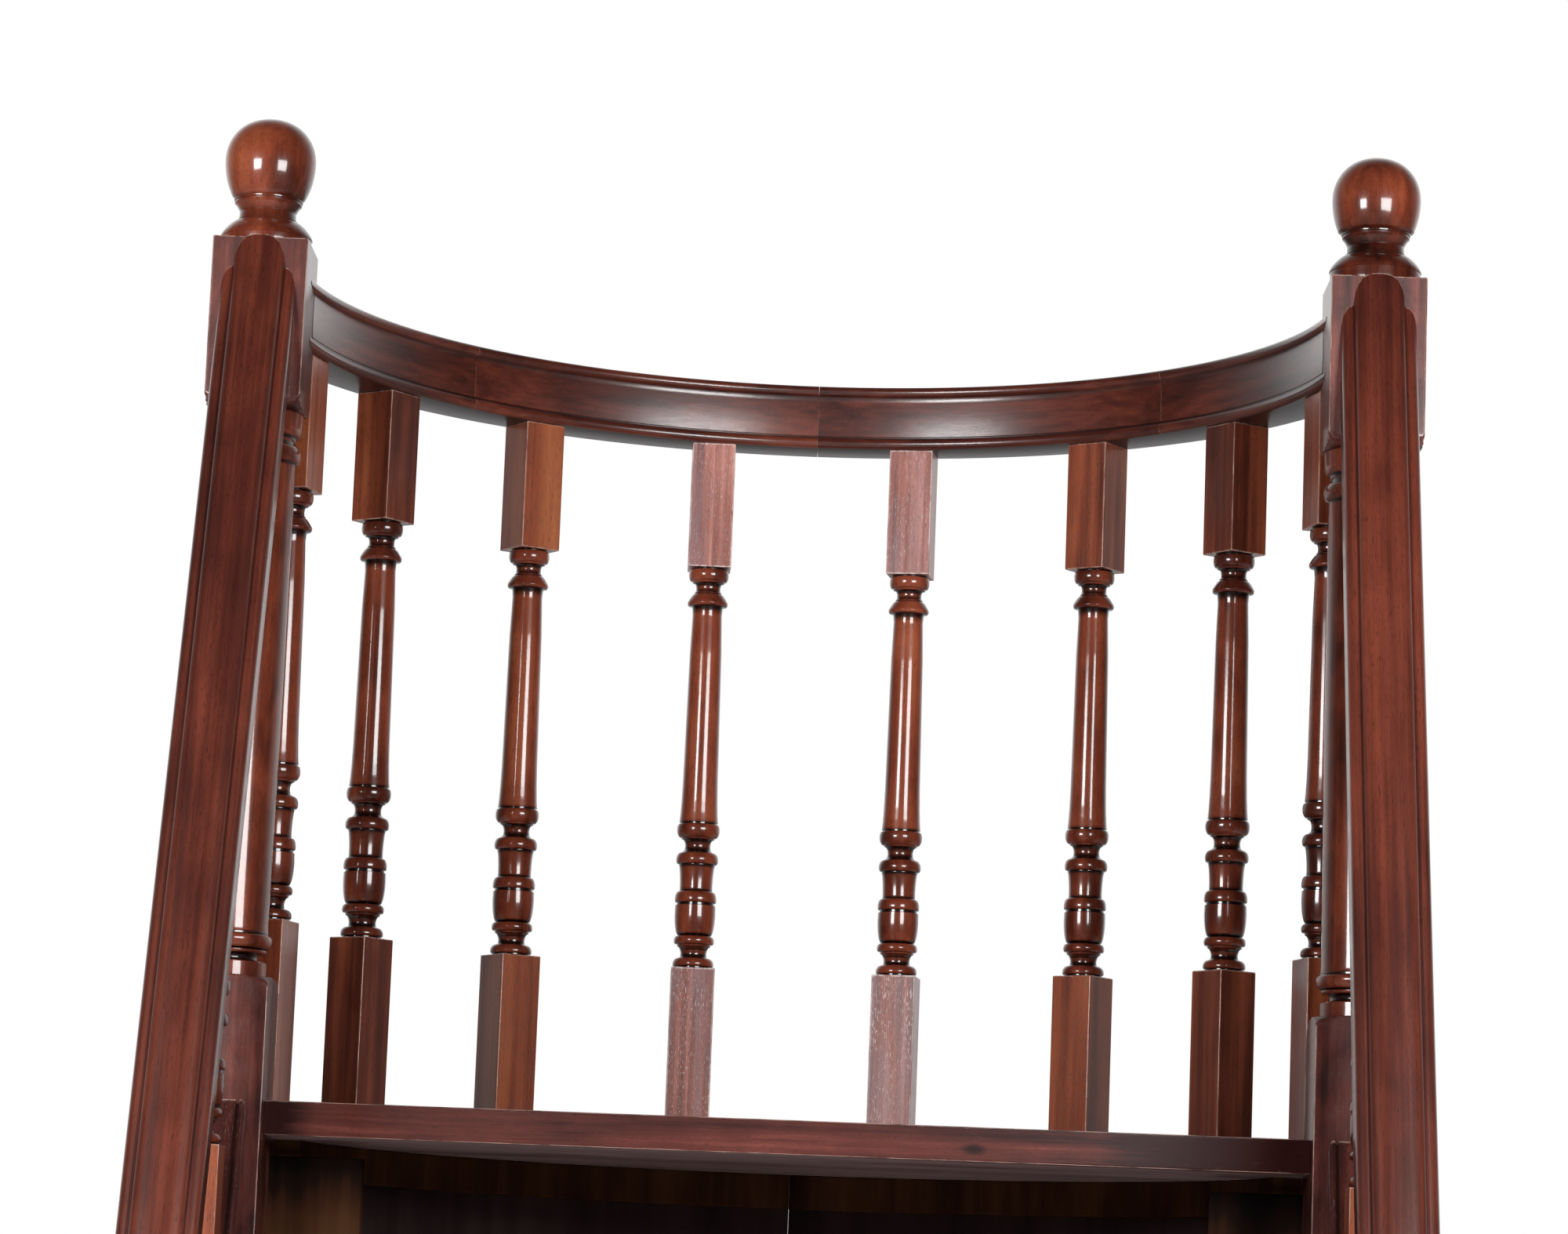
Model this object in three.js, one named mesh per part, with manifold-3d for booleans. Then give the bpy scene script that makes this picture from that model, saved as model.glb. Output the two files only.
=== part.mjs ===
// Library steps with a bowed gallery, in millimetres, with Z up.
// A climber faces +Y. The origin is on the floor, at the middle of the footprint.

import * as THREE from 'three';
import { mergeVertices } from 'three/addons/utils/BufferGeometryUtils.js';
import Module from 'manifold-3d';

const wasm = await Module();
wasm.setup();

// Whole object
const platformHeight = 1720;
const stepCount = 8;
const going = 78;
const clearWidth = 847;
const fitGap = 0.3;
const cutOverrun = 40;

// Tenons that join the handrails and the strings to the newels
const tenonLength = 20;
const handrailTenonThickness = 20;
const handrailTenonHeight = 60;
const stringTenonThickness = 14;
const stringTenonHeight = 90;

// Newel posts, square with a turned middle
const newelSide = 79;
const newelLowerBlock = 100;
const newelTurnedLength = 470;
const newelUpperBlock = 141;
const newelShoulder = 12;
const bottomNewelRise = 200;
const newelSides = 12;
const newelProfileShares = [
  [0, 0.855], [0.026, 0.855], [0.033, 0.67], [0.042, 0.81], [0.053, 0.88],
  [0.062, 0.93], [0.073, 0.87], [0.088, 0.845], [0.45, 0.875], [0.905, 0.9], [0.912, 0.95],
  [0.925, 0.99], [0.938, 0.95], [0.95, 0.9], [0.957, 0.95], [0.975, 0.99], [1, 0.98],
];

// Ball finials, each with a dowel in its newel
const finialHeight = 108.5;
const ballRadius = 38;
const finialSides = 12;
const finialDowelRadius = 10;
const finialDowelLength = 36;
const finialProfileShares = [
  [0, 0.99], [0.092, 0.95], [0.147, 0.83], [0.184, 0.72], [0.19, 0.66], [0.25, 0.705],
  [0.304, 0.647], [0.332, 0.79], [0.442, 0.9], [0.535, 0.97], [0.654, 1],
  [0.782, 0.94], [0.88, 0.79], [0.945, 0.56], [0.985, 0.3],
];

// Bowed gallery rail, in lengths butted end to end
const bowForward = 45;
const railSetOut = 2;
const railWidth = 53;
const railHeight = 57.5;
const railAboveTurning = 60;
const railTenonWidth = 24;
const railTenonHeight = 30;
const railTenonLength = 18;
const ringSegments = 48;
const railSectionShares = [
  [0.42, 0], [0.47, 0.05], [0.47, 0.15], [0.43, 0.19], [0.43, 0.8],
  [0.47, 0.84], [0.5, 0.9], [0.48, 0.97], [0.36, 1],
];

// Turned balusters
const balusterSide = 39;
const balusterLowerBlock = 153;
const balusterTurnedLength = 365;
const balusterDowelRadius = 8;
const balusterDowelLength = 15;
const balusterSides = 10;
const dowelSides = 8;
const leftBalusterShares = [0.159, 0.451, 0.739, 1];
const rightBalusterShares = [0.149, 0.449, 0.721, 1];
// How far each one's square blocks are turned towards the middle of the bow
const leftTurnShares = [0.22, 1, 1, 1];
const rightTurnShares = [0.75, 1, 1, 1];
const balusterProfileShares = [
  [0, 0.84], [0.012, 0.97], [0.038, 0.66], [0.052, 0.94], [0.083, 0.92], [0.087, 0.83],
  [0.135, 0.975], [0.165, 0.91], [0.19, 0.81], [0.258, 0.8], [0.275, 0.94], [0.303, 0.575],
  [0.336, 0.97], [0.36, 0.89], [0.45, 0.81], [0.9, 0.72], [0.917, 0.9], [0.95, 0.58],
  [0.983, 0.92], [1, 0.84],
];

// Balusters of the stair, between the string capping and the handrail
const stairBalustersPerSide = 4;
const stairLowerBlock = 173;
const stairTurnedLength = 335;

// Platform, two boards with a rounded rim
const boardThickness = 28;
const frontBoardDepth = 210;
const platformSetBack = 19.5;
const platformLap = 28;
const platformHousing = 8;

// Treads and strings
const treadThickness = 24;
const treadDepth = 135;
const treadHousing = 8;
const stringThickness = 32;
const stringWidth = 200;
const cappingWidth = 54;
const cappingThickness = 15;
const cappingRound = 3;
const noseSegments = 4;

// Handrails, with a wide rounded crown between two shoulders
const handrailWidth = 62;
const handrailDepth = 45;
const handrailOverNewel = 3;
const handrailSectionShares = [
  [0, 0], [0.16, -0.02], [0.28, -0.08], [0.32, -0.17], [0.35, -0.24], [0.41, -0.24], [0.47, -0.28],
  [0.5, -0.37], [0.5, -0.62], [0.44, -0.7], [0.44, -0.9], [0.4, -1],
];

// Curved back under the platform, with flat boards behind the newels
const backPanelThickness = 18;
const flatBoardThickness = 18;
const flatBoardInner = 347;
const flatBoardLap = 65;
const flatBoardDrop = 42;
const bearerWidth = 20;
const bearerHeight = 30;
const plinthThickness = 12;
const plinthHeight = 110;

// Places worked out from the sizes above
const riser = platformHeight / stepCount;
const slope = Math.atan2(riser, going);
const newelX = (clearWidth + newelSide) / 2;
const railUnderside = newelLowerBlock + newelTurnedLength + railAboveTurning;
const handrailCrown = newelLowerBlock + newelTurnedLength + newelUpperBlock + handrailOverNewel;
const newelFront = -newelSide / 2;
const newelBack = newelSide / 2;
const bowRadius = (clearWidth + railWidth) / 2 + railSetOut;
const bottomNewelBack = newelFront - (platformHeight - bottomNewelRise) * going / riser;
const stringCentre = newelX;
const stringInner = stringCentre - stringThickness / 2;
const flatBoardBack = newelBack + flatBoardThickness;
const underside = platformHeight - boardThickness;
const backPanelOuter = bowRadius;
const backPanelInner = backPanelOuter - backPanelThickness;

const mahogany = new THREE.MeshStandardMaterial({ color: 0x6b2a1c, roughness: 0.3, metalness: 0 });
const darkMahogany = new THREE.MeshStandardMaterial({ color: 0x521d17, roughness: 0.28, metalness: 0 });
const plainTimber = new THREE.MeshStandardMaterial({ color: 0x8a5a36, roughness: 0.6, metalness: 0 });

// A closed three.js geometry as a solid that can be joined and cut
function solidOf(geometry) {
  const bare = geometry.clone();
  bare.deleteAttribute('normal');
  bare.deleteAttribute('uv');
  const welded = mergeVertices(bare);
  const corners = welded.index.array;
  const kept = [];
  for (let i = 0; i < corners.length; i += 3) {
    const [a, b, c] = [corners[i], corners[i + 1], corners[i + 2]];
    if (a !== b && b !== c && c !== a) kept.push(a, b, c);
  }
  return new wasm.Manifold(new wasm.Mesh({
    numProp: 3,
    vertProperties: new Float32Array(welded.attributes.position.array),
    triVerts: new Uint32Array(kept),
  }));
}

function geometryOf(solid) {
  const mesh = solid.getMesh();
  const geometry = new THREE.BufferGeometry();
  const positions = new Float32Array(mesh.numVert * 3);
  for (let i = 0; i < mesh.numVert; i += 1) {
    for (let k = 0; k < 3; k += 1) positions[i * 3 + k] = mesh.vertProperties[i * mesh.numProp + k];
  }
  geometry.setAttribute('position', new THREE.BufferAttribute(positions, 3));
  geometry.setIndex(new THREE.BufferAttribute(new Uint32Array(mesh.triVerts), 1));
  geometry.computeVertexNormals();
  return geometry;
}

// A box between two corners
function boxBetween(low, high) {
  const size = high.map((value, k) => value - low[k]);
  const geometry = new THREE.BoxGeometry(...size);
  geometry.translate(...low.map((value, k) => value + size[k] / 2));
  return solidOf(geometry);
}

// A turned solid about an upright axis, from pairs of radius and height
function turned(profile, sides, [x, y] = [0, 0], turn = 0) {
  const points = profile.map(([radius, height]) => new THREE.Vector2(radius, height));
  points.unshift(new THREE.Vector2(0, profile[0][1]));
  points.push(new THREE.Vector2(0, profile.at(-1)[1]));
  const geometry = new THREE.LatheGeometry(points, sides);
  geometry.rotateX(Math.PI / 2);
  geometry.rotateZ(turn);
  geometry.translate(x, y, 0);
  return solidOf(geometry);
}

// A full ring about the bow's centre, from a closed section of radius and height pairs
function bowRing(section) {
  const points = [...section, section[0]].map(([radius, height]) => new THREE.Vector2(radius, height));
  const geometry = new THREE.LatheGeometry(points, ringSegments);
  geometry.rotateX(Math.PI / 2);
  geometry.translate(0, -bowForward, 0);
  return solidOf(geometry);
}

// A plan outline raised from one height to another
function raised(shape, bottom, top, curveSegments = noseSegments) {
  const geometry = new THREE.ExtrudeGeometry(shape, {
    depth: top - bottom, bevelEnabled: false, curveSegments,
  });
  geometry.translate(0, 0, bottom);
  return solidOf(geometry);
}

// An outline in the Y and Z directions, made solid across X
function acrossX(shape, fromX, toX) {
  const geometry = new THREE.ExtrudeGeometry(shape, {
    depth: toX - fromX, bevelEnabled: false, curveSegments: noseSegments,
  });
  geometry.applyMatrix4(new THREE.Matrix4().makeBasis(
    new THREE.Vector3(0, 1, 0),
    new THREE.Vector3(0, 0, 1),
    new THREE.Vector3(1, 0, 0),
  ));
  geometry.translate(fromX, 0, 0);
  return solidOf(geometry);
}

function outline(points) {
  return new THREE.Shape(points.map(([x, y]) => new THREE.Vector2(x, y)));
}

// Height of the string capping's top surface at a place along Y
function cappingHeight(y) {
  return platformHeight - (newelFront - y) * Math.tan(slope);
}

// Pairs of radius and height for a turning, from shares of its length and of its block's half side
function profileBetween(shares, bottom, length, radius) {
  return shares.map(([up, out]) => [out * radius, bottom + up * length]);
}

// A square block whose corners are turned away at either end
function block(side, bottom, top, lowShoulder, highShoulder, sides) {
  const half = side / 2;
  const corner = half * Math.SQRT2 / Math.cos(Math.PI / sides) + fitGap;
  const square = boxBetween([-half, -half, bottom], [half, half, top]);
  if (!lowShoulder && !highShoulder) return square;
  const limits = [];
  if (lowShoulder) limits.push([half, bottom], [(half + corner) / 2, bottom + lowShoulder / 3]);
  limits.push([corner, bottom + lowShoulder], [corner, top - highShoulder]);
  if (highShoulder) limits.push([(half + corner) / 2, top - highShoulder / 3], [half, top]);
  return square.intersect(turned(limits, sides));
}

// A newel from the floor, with its square foot up to a level and the turning above that
function newelBody(level) {
  const foot = level + newelLowerBlock;
  const head = foot + newelTurnedLength;
  const top = head + newelUpperBlock;
  const turning = profileBetween(newelProfileShares, foot, newelTurnedLength, newelSide / 2);
  turning.unshift([turning[0][0], foot - newelShoulder]);
  turning.push([turning.at(-1)[0], head + newelShoulder]);
  const dowelHole = turned([
    [finialDowelRadius + fitGap, top - finialDowelLength - fitGap],
    [finialDowelRadius + fitGap, top + cutOverrun],
  ], finialSides);
  return block(newelSide, 0, foot, 0, newelShoulder, newelSides)
    .add(turned(turning, newelSides))
    .add(block(newelSide, head, top, newelShoulder, 0, newelSides))
    .subtract(dowelHole);
}

// A top newel, housed for the platform and mortised for the gallery rail
function topNewel(side) {
  const inner = -side * newelSide / 2;
  const housingDepth = inner + side * (platformHousing + fitGap);
  const past = inner - side * cutOverrun;
  const housing = boxBetween(
    [Math.min(housingDepth, past), newelFront + platformSetBack - fitGap, underside - fitGap],
    [Math.max(housingDepth, past), newelBack + cutOverrun, platformHeight + fitGap],
  );
  const { handrailTop, stringTop } = memberTenons();
  return without(newelBody(platformHeight), [
    housing,
    railTenon(side, fitGap, side * newelX),
    memberTenon(handrailTop, 0, 0, fitGap),
    memberTenon(stringTop, 0, 0, fitGap),
  ]);
}

function bottomNewel() {
  const middleY = bottomNewelBack - newelSide / 2;
  const { handrailBottom, stringBottom } = memberTenons();
  return without(newelBody(bottomNewelRise), [
    memberTenon(handrailBottom, 0, middleY, fitGap),
    memberTenon(stringBottom, 0, middleY, fitGap),
  ]);
}

// The tenons of a handrail and a string: the newel face that each enters, the way it goes in
// along Y, and its middle height, set where the whole of its root lies inside the sloping member
function memberTenons() {
  const lean = newelShoulder / 2 * Math.tan(slope);
  const drop = plumb(handrailDepth) / 2;
  const crown = handrailCrown - drop;
  const rail = { thickness: handrailTenonThickness, height: handrailTenonHeight };
  const string = { thickness: stringTenonThickness, height: stringTenonHeight };
  return {
    handrailTop: { ...rail, face: newelFront, way: 1, middle: platformHeight + crown - lean },
    handrailBottom: { ...rail, face: bottomNewelBack, way: -1, middle: bottomNewelRise + crown + lean },
    stringTop: { ...string, face: newelFront, way: 1, middle: platformHeight - plumb(stringWidth) / 2 },
    stringBottom: { ...string, face: bottomNewelBack, way: -1, middle: bottomNewelRise / 2 - lean },
  };
}

// One such tenon about a given origin, grown on all faces by a gap for its mortise
function memberTenon({ thickness, height, face, way, middle }, x, originY, gap) {
  const tip = face + way * (tenonLength + gap) - originY;
  const root = face - way * newelShoulder - originY;
  return boxBetween(
    [x - thickness / 2 - gap, Math.min(tip, root), middle - height / 2 - gap],
    [x + thickness / 2 + gap, Math.max(tip, root), middle + height / 2 + gap],
  );
}

// Where the gallery rail's centre line meets the back of a newel
function railEndX(side) {
  return side * Math.sqrt(bowRadius ** 2 - (newelBack + bowForward) ** 2);
}

// The tenon that joins the rail to a newel, grown on all faces by a gap for its mortise,
// with its place along X measured from a given origin
function railTenon(side, gap, originX) {
  const x = railEndX(side) - originX;
  const middle = platformHeight + railUnderside + railHeight / 2;
  const reach = newelBack - railTenonLength;
  return boxBetween(
    [x - railTenonWidth / 2 - gap, reach - gap, middle - railTenonHeight / 2 - gap],
    [x + railTenonWidth / 2 + gap, newelBack + newelShoulder, middle + railTenonHeight / 2 + gap],
  );
}

function finial() {
  const profile = profileBetween(finialProfileShares, 0, finialHeight, ballRadius);
  profile.push([0, finialHeight]);
  profile.unshift([finialDowelRadius, 0]);
  profile.unshift([finialDowelRadius, -finialDowelLength]);
  return turned(profile, finialSides);
}

// A wedge of plan about the bow's centre, between two angles measured from +Y towards +X
function bowWedge(from, to, bottom, top) {
  const reach = (bowRadius + railWidth) / Math.cos((to - from) / 2);
  const corners = [from, (from + to) / 2, to].map((angle) => [
    reach * Math.sin(angle), reach * Math.cos(angle) - bowForward,
  ]);
  return raised(outline([[0, -bowForward], ...corners.reverse()]), bottom, top);
}

// The angle round the bow and the turn of each baluster on one side, the last one clear of the newel
function bowSpots(side) {
  const reach = newelBack + balusterSide * Math.SQRT1_2 + fitGap + bowForward;
  const last = side * Math.acos(reach / bowRadius);
  const turnShares = side > 0 ? rightTurnShares : leftTurnShares;
  const angleShares = side > 0 ? rightBalusterShares : leftBalusterShares;
  return angleShares.map((share, i) => [share * last, -share * last * turnShares[i]]);
}

function bowPlace(angle) {
  return [bowRadius * Math.sin(angle), bowRadius * Math.cos(angle) - bowForward];
}

// Holes for the dowels at the ends of the bow balusters
function dowelHoles(height, down) {
  return [...bowSpots(-1), ...bowSpots(1)].map(([angle, turn]) => {
    const [low, high] = down
      ? [height - balusterDowelLength - fitGap, height + cutOverrun]
      : [height - cutOverrun, height + balusterDowelLength + fitGap];
    const radius = balusterDowelRadius + fitGap;
    return turned([[radius, low], [radius, high]], dowelSides, bowPlace(angle), turn);
  });
}

function without(solid, cutters) {
  return cutters.reduce((left, cutter) => left.subtract(cutter), solid);
}

// One length of the gallery rail between two angles, tenoned where it meets a newel
function railLength(from, to, endSide) {
  const bottom = platformHeight + railUnderside;
  const half = railSectionShares.map(([out, up]) => [out * railWidth, bottom + up * railHeight]);
  const section = [
    ...half.map(([out, height]) => [bowRadius + out, height]),
    ...half.reverse().map(([out, height]) => [bowRadius - out, height]),
  ];
  let length = bowRing(section)
    .intersect(bowWedge(from, to, bottom - cutOverrun, bottom + railHeight + cutOverrun));
  if (endSide) {
    const x = endSide * newelX;
    const reach = newelSide / 2 + fitGap;
    length = length.subtract(boxBetween(
      [x - reach, -reach, 0],
      [x + reach, reach, bottom + railHeight + cutOverrun],
    ));
    length = length.add(railTenon(endSide, 0, 0));
  }
  return without(length, dowelHoles(bottom, false));
}

function railLengths() {
  const joint = fitGap / bowRadius / 2;
  const quarter = Math.PI / 4;
  const end = Math.acos(bowForward / bowRadius);
  return {
    rail_left_end: railLength(-end, -quarter - joint, -1),
    rail_left_middle: railLength(-quarter + joint, -joint, 0),
    rail_right_middle: railLength(joint, quarter - joint, 0),
    rail_right_end: railLength(quarter + joint, end, 1),
  };
}

// A bow baluster, standing on the platform at its own zero height
function bowBaluster() {
  const top = railUnderside;
  const turnTop = balusterLowerBlock + balusterTurnedLength;
  const turning = profileBetween(
    balusterProfileShares, balusterLowerBlock, balusterTurnedLength, balusterSide / 2,
  );
  turning.unshift([turning[0][0], balusterLowerBlock - balusterDowelLength]);
  turning.push([turning.at(-1)[0], turnTop + balusterDowelLength]);
  const dowel = (low, high) => turned([[balusterDowelRadius, low], [balusterDowelRadius, high]], dowelSides);
  return block(balusterSide, 0, balusterLowerBlock, 0, 0, balusterSides)
    .add(turned(turning, balusterSides))
    .add(block(balusterSide, turnTop, top, 0, 0, balusterSides))
    .add(dowel(-balusterDowelLength, balusterDowelLength))
    .add(dowel(top - balusterDowelLength, top + balusterDowelLength));
}

// Depth of a sloping member measured straight down
function plumb(depth) {
  return depth / Math.cos(slope);
}

// Places along Y of the stair balusters, evenly between the newels
function stairBalusterPlaces() {
  const first = newelFront - going;
  const last = bottomNewelBack + going;
  const pitch = (last - first) / (stairBalustersPerSide - 1);
  return Array.from({ length: stairBalustersPerSide }, (_, i) => first + i * pitch);
}

// A stair baluster in its own frame, zero height being the capping's surface at its axis
function stairBaluster() {
  const half = balusterSide / 2;
  const rise = half * Math.tan(slope);
  const railUnder = handrailCrown - plumb(handrailDepth);
  const turnTop = stairLowerBlock + stairTurnedLength;
  const turning = profileBetween(
    balusterProfileShares, stairLowerBlock, stairTurnedLength, half,
  );
  turning.unshift([turning[0][0], stairLowerBlock - balusterDowelLength]);
  turning.push([turning.at(-1)[0], turnTop + balusterDowelLength]);
  const low = plumb(fitGap);
  const high = railUnder - plumb(fitGap);
  const between = acrossX(outline([
    [-half - fitGap, low - rise], [half + fitGap, low + rise],
    [half + fitGap, high + rise], [-half - fitGap, high - rise],
  ]), -half - fitGap, half + fitGap);
  return block(balusterSide, -rise, stairLowerBlock, 0, 0, balusterSides)
    .add(turned(turning, balusterSides))
    .add(block(balusterSide, turnTop, railUnder + rise, 0, 0, balusterSides))
    .intersect(between);
}

// A member of constant section running down the slope between the newels
function slopingMember(section, startHeight, x) {
  const geometry = new THREE.ExtrudeGeometry(outline(section), {
    depth: 2 * cutOverrun + plumb(newelFront - bottomNewelBack), bevelEnabled: false,
  });
  const normal = new THREE.Vector3(0, -Math.sin(slope), Math.cos(slope));
  const down = new THREE.Vector3(0, -Math.cos(slope), -Math.sin(slope));
  geometry.translate(0, 0, -cutOverrun);
  geometry.applyMatrix4(new THREE.Matrix4().makeBasis(new THREE.Vector3(1, 0, 0), normal, down));
  geometry.translate(x, newelFront, startHeight);
  const reach = newelX + newelSide;
  return solidOf(geometry).intersect(boxBetween(
    [-reach, bottomNewelBack + fitGap, 0],
    [reach, newelFront - fitGap, platformHeight + handrailCrown + newelSide],
  ));
}

function handrail(side) {
  const half = handrailSectionShares.map(([out, up]) => [out * handrailWidth, up * handrailDepth]);
  const mirrored = half.slice(1).reverse().map(([out, up]) => [-out, up]);
  const { handrailTop, handrailBottom } = memberTenons();
  return slopingMember([...half, ...mirrored].reverse(), platformHeight + handrailCrown, side * newelX)
    .add(memberTenon(handrailTop, side * newelX, 0, 0))
    .add(memberTenon(handrailBottom, side * newelX, 0, 0));
}

function capping(side) {
  const half = cappingWidth / 2;
  const low = fitGap - cappingThickness;
  return slopingMember([
    [-half, low], [half, low], [half, -cappingRound], [half - cappingRound, 0],
    [cappingRound - half, 0], [-half, -cappingRound],
  ], platformHeight, side * stringCentre);
}

// Step 1 is the first tread below the platform
function treadPlace(step) {
  const top = platformHeight - step * riser;
  const nose = newelFront + platformSetBack - step * going;
  return { top, nose, back: nose + treadDepth };
}

function tread(step) {
  const { top, nose, back } = treadPlace(step);
  const radius = treadThickness / 2;
  const shape = new THREE.Shape();
  shape.moveTo(back, top);
  shape.lineTo(nose + radius, top);
  shape.absarc(nose + radius, top - radius, radius, Math.PI / 2, Math.PI * 3 / 2, false);
  shape.lineTo(back, top - treadThickness);
  const end = stringInner + treadHousing;
  const board = acrossX(shape, -end, end);
  const inner = newelX - newelSide / 2 - fitGap;
  const outer = end + cutOverrun;
  const beside = [-1, 1].map((side) => boxBetween(
    [Math.min(side * inner, side * outer), newelFront - fitGap, top - treadThickness - cutOverrun],
    [Math.max(side * inner, side * outer), back + cutOverrun, top + cutOverrun],
  ));
  return without(board, beside);
}

// A string, cut square at the floor and plumb at both newels, with a housing for each tread
function stringBoard(side) {
  const cappingDepth = cappingThickness / Math.sin(slope);
  const width = stringWidth / Math.sin(slope);
  const front = (y) => cappingHeight(y - cappingDepth);
  const back = (y) => cappingHeight(y - cappingDepth - width);
  const top = newelFront - fitGap;
  const bottom = bottomNewelBack + fitGap;
  const heel = newelFront - platformHeight * going / riser + cappingDepth + width;
  const shape = outline([
    [top, back(top)], [heel, 0], [bottom, 0], [bottom, front(bottom)], [top, front(top)],
  ].reverse());
  const centre = side * stringCentre;
  const board = acrossX(shape, centre - stringThickness / 2, centre + stringThickness / 2);
  const housings = [];
  for (let step = 1; step < stepCount; step += 1) {
    const { top: high, nose, back: rear } = treadPlace(step);
    const inside = side * (stringInner - cutOverrun);
    const outside = side * (stringInner + treadHousing + fitGap);
    housings.push(boxBetween(
      [Math.min(inside, outside), nose - fitGap, high - treadThickness - fitGap],
      [Math.max(inside, outside), rear + fitGap, high + fitGap],
    ));
  }
  const { stringTop, stringBottom } = memberTenons();
  return without(board, housings)
    .add(memberTenon(stringTop, centre, 0, 0))
    .add(memberTenon(stringBottom, centre, 0, 0));
}

// The platform's plan: a tongue between the newels, then a half round behind them
function platformPlan() {
  const rim = bowRadius + platformLap;
  const corner = newelBack + fitGap;
  const inner = newelX - newelSide / 2 + platformHousing;
  const edge = newelFront + platformSetBack;
  const start = Math.asin((corner + bowForward) / rim);
  const shape = new THREE.Shape();
  shape.moveTo(-inner, edge);
  shape.lineTo(inner, edge);
  shape.lineTo(inner, corner);
  shape.lineTo(rim * Math.cos(start), corner);
  shape.absarc(0, -bowForward, rim, start, Math.PI - start, false);
  shape.lineTo(-inner, corner);
  return shape;
}

function platformBoards() {
  const rim = bowRadius + platformLap;
  const edge = newelFront + platformSetBack;
  const join = edge + frontBoardDepth;
  const whole = without(
    raised(platformPlan(), underside, platformHeight, ringSegments / 2),
    dowelHoles(platformHeight, true),
  );
  const reach = rim + cutOverrun;
  const slab = (from, to) => boxBetween([-reach, from, 0], [reach, to, platformHeight + cutOverrun]);
  return {
    platform_front_board: whole.intersect(slab(edge - cutOverrun, join)),
    platform_back_board: whole.intersect(slab(join + fitGap, rim)),
  };
}

// One half of a curved member standing behind the flat boards
function curvedHalf(side, inner, outer, bottom, top) {
  const section = [[inner, bottom], [outer, bottom], [outer, top], [inner, top]];
  const reach = outer + cutOverrun;
  const from = side > 0 ? fitGap / 2 : -reach;
  const to = side > 0 ? reach : -fitGap / 2;
  return bowRing(section).intersect(boxBetween(
    [from, flatBoardBack, bottom - cutOverrun],
    [to, reach, top + cutOverrun],
  ));
}

function flatBoard(side) {
  const from = side * flatBoardInner;
  const to = side * (clearWidth / 2 + flatBoardLap);
  return boxBetween(
    [Math.min(from, to), newelBack, 0],
    [Math.max(from, to), flatBoardBack, platformHeight - flatBoardDrop],
  );
}

const steps = new THREE.Group();

function place(name, solid, material, position = [0, 0, 0], turn = 0) {
  const mesh = new THREE.Mesh(geometryOf(solid), material.clone());
  mesh.name = name;
  mesh.position.set(...position);
  mesh.rotation.z = turn;
  steps.add(mesh);
}

for (const [word, side] of [['left', -1], ['right', 1]]) {
  const x = side * newelX;
  const bottomY = bottomNewelBack - newelSide / 2;
  const aboveLevel = newelLowerBlock + newelTurnedLength + newelUpperBlock;
  place(`top_newel_${word}`, topNewel(side), mahogany, [x, 0, 0]);
  place(`top_finial_${word}`, finial(), mahogany, [x, 0, platformHeight + aboveLevel]);
  place(`bottom_newel_${word}`, bottomNewel(), mahogany, [x, bottomY, 0]);
  place(`bottom_finial_${word}`, finial(), mahogany, [x, bottomY, bottomNewelRise + aboveLevel]);
  place(`handrail_${word}`, handrail(side), darkMahogany);
  place(`string_${word}`, stringBoard(side), mahogany);
  place(`string_capping_${word}`, capping(side), mahogany);
  place(`flat_board_${word}`, flatBoard(side), plainTimber);
  place(
    `back_panel_${word}`,
    curvedHalf(side, backPanelInner, backPanelOuter, 0, underside),
    mahogany,
  );
  place(
    `platform_bearer_${word}`,
    curvedHalf(
      side, backPanelInner - fitGap - bearerWidth, backPanelInner - fitGap,
      underside - bearerHeight, underside,
    ),
    plainTimber,
  );
  place(
    `plinth_${word}`,
    curvedHalf(side, backPanelOuter + fitGap, backPanelOuter + fitGap + plinthThickness, 0, plinthHeight),
    mahogany,
  );
  bowSpots(side).forEach(([angle, turn], i) => {
    const [bx, by] = bowPlace(angle);
    place(`bow_baluster_${word}_${i + 1}`, bowBaluster(), mahogany, [bx, by, platformHeight], turn);
  });
  stairBalusterPlaces().forEach((y, i) => {
    place(`stair_baluster_${word}_${i + 1}`, stairBaluster(), mahogany, [x, y, cappingHeight(y)]);
  });
}

for (const [name, solid] of Object.entries(railLengths())) place(name, solid, darkMahogany);
for (const [name, solid] of Object.entries(platformBoards())) place(name, solid, mahogany);
for (let step = 1; step < stepCount; step += 1) place(`tread_${step}`, tread(step), mahogany);

// Stand the steps on the floor with the middle of their footprint at the origin
const bounds = new THREE.Box3().setFromObject(steps);
const middle = bounds.getCenter(new THREE.Vector3());
steps.position.set(-middle.x, -middle.y, -bounds.min.z);

export default steps;
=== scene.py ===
import math
import random

import bpy
import numpy as np
from mathutils import Matrix, Vector


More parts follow.
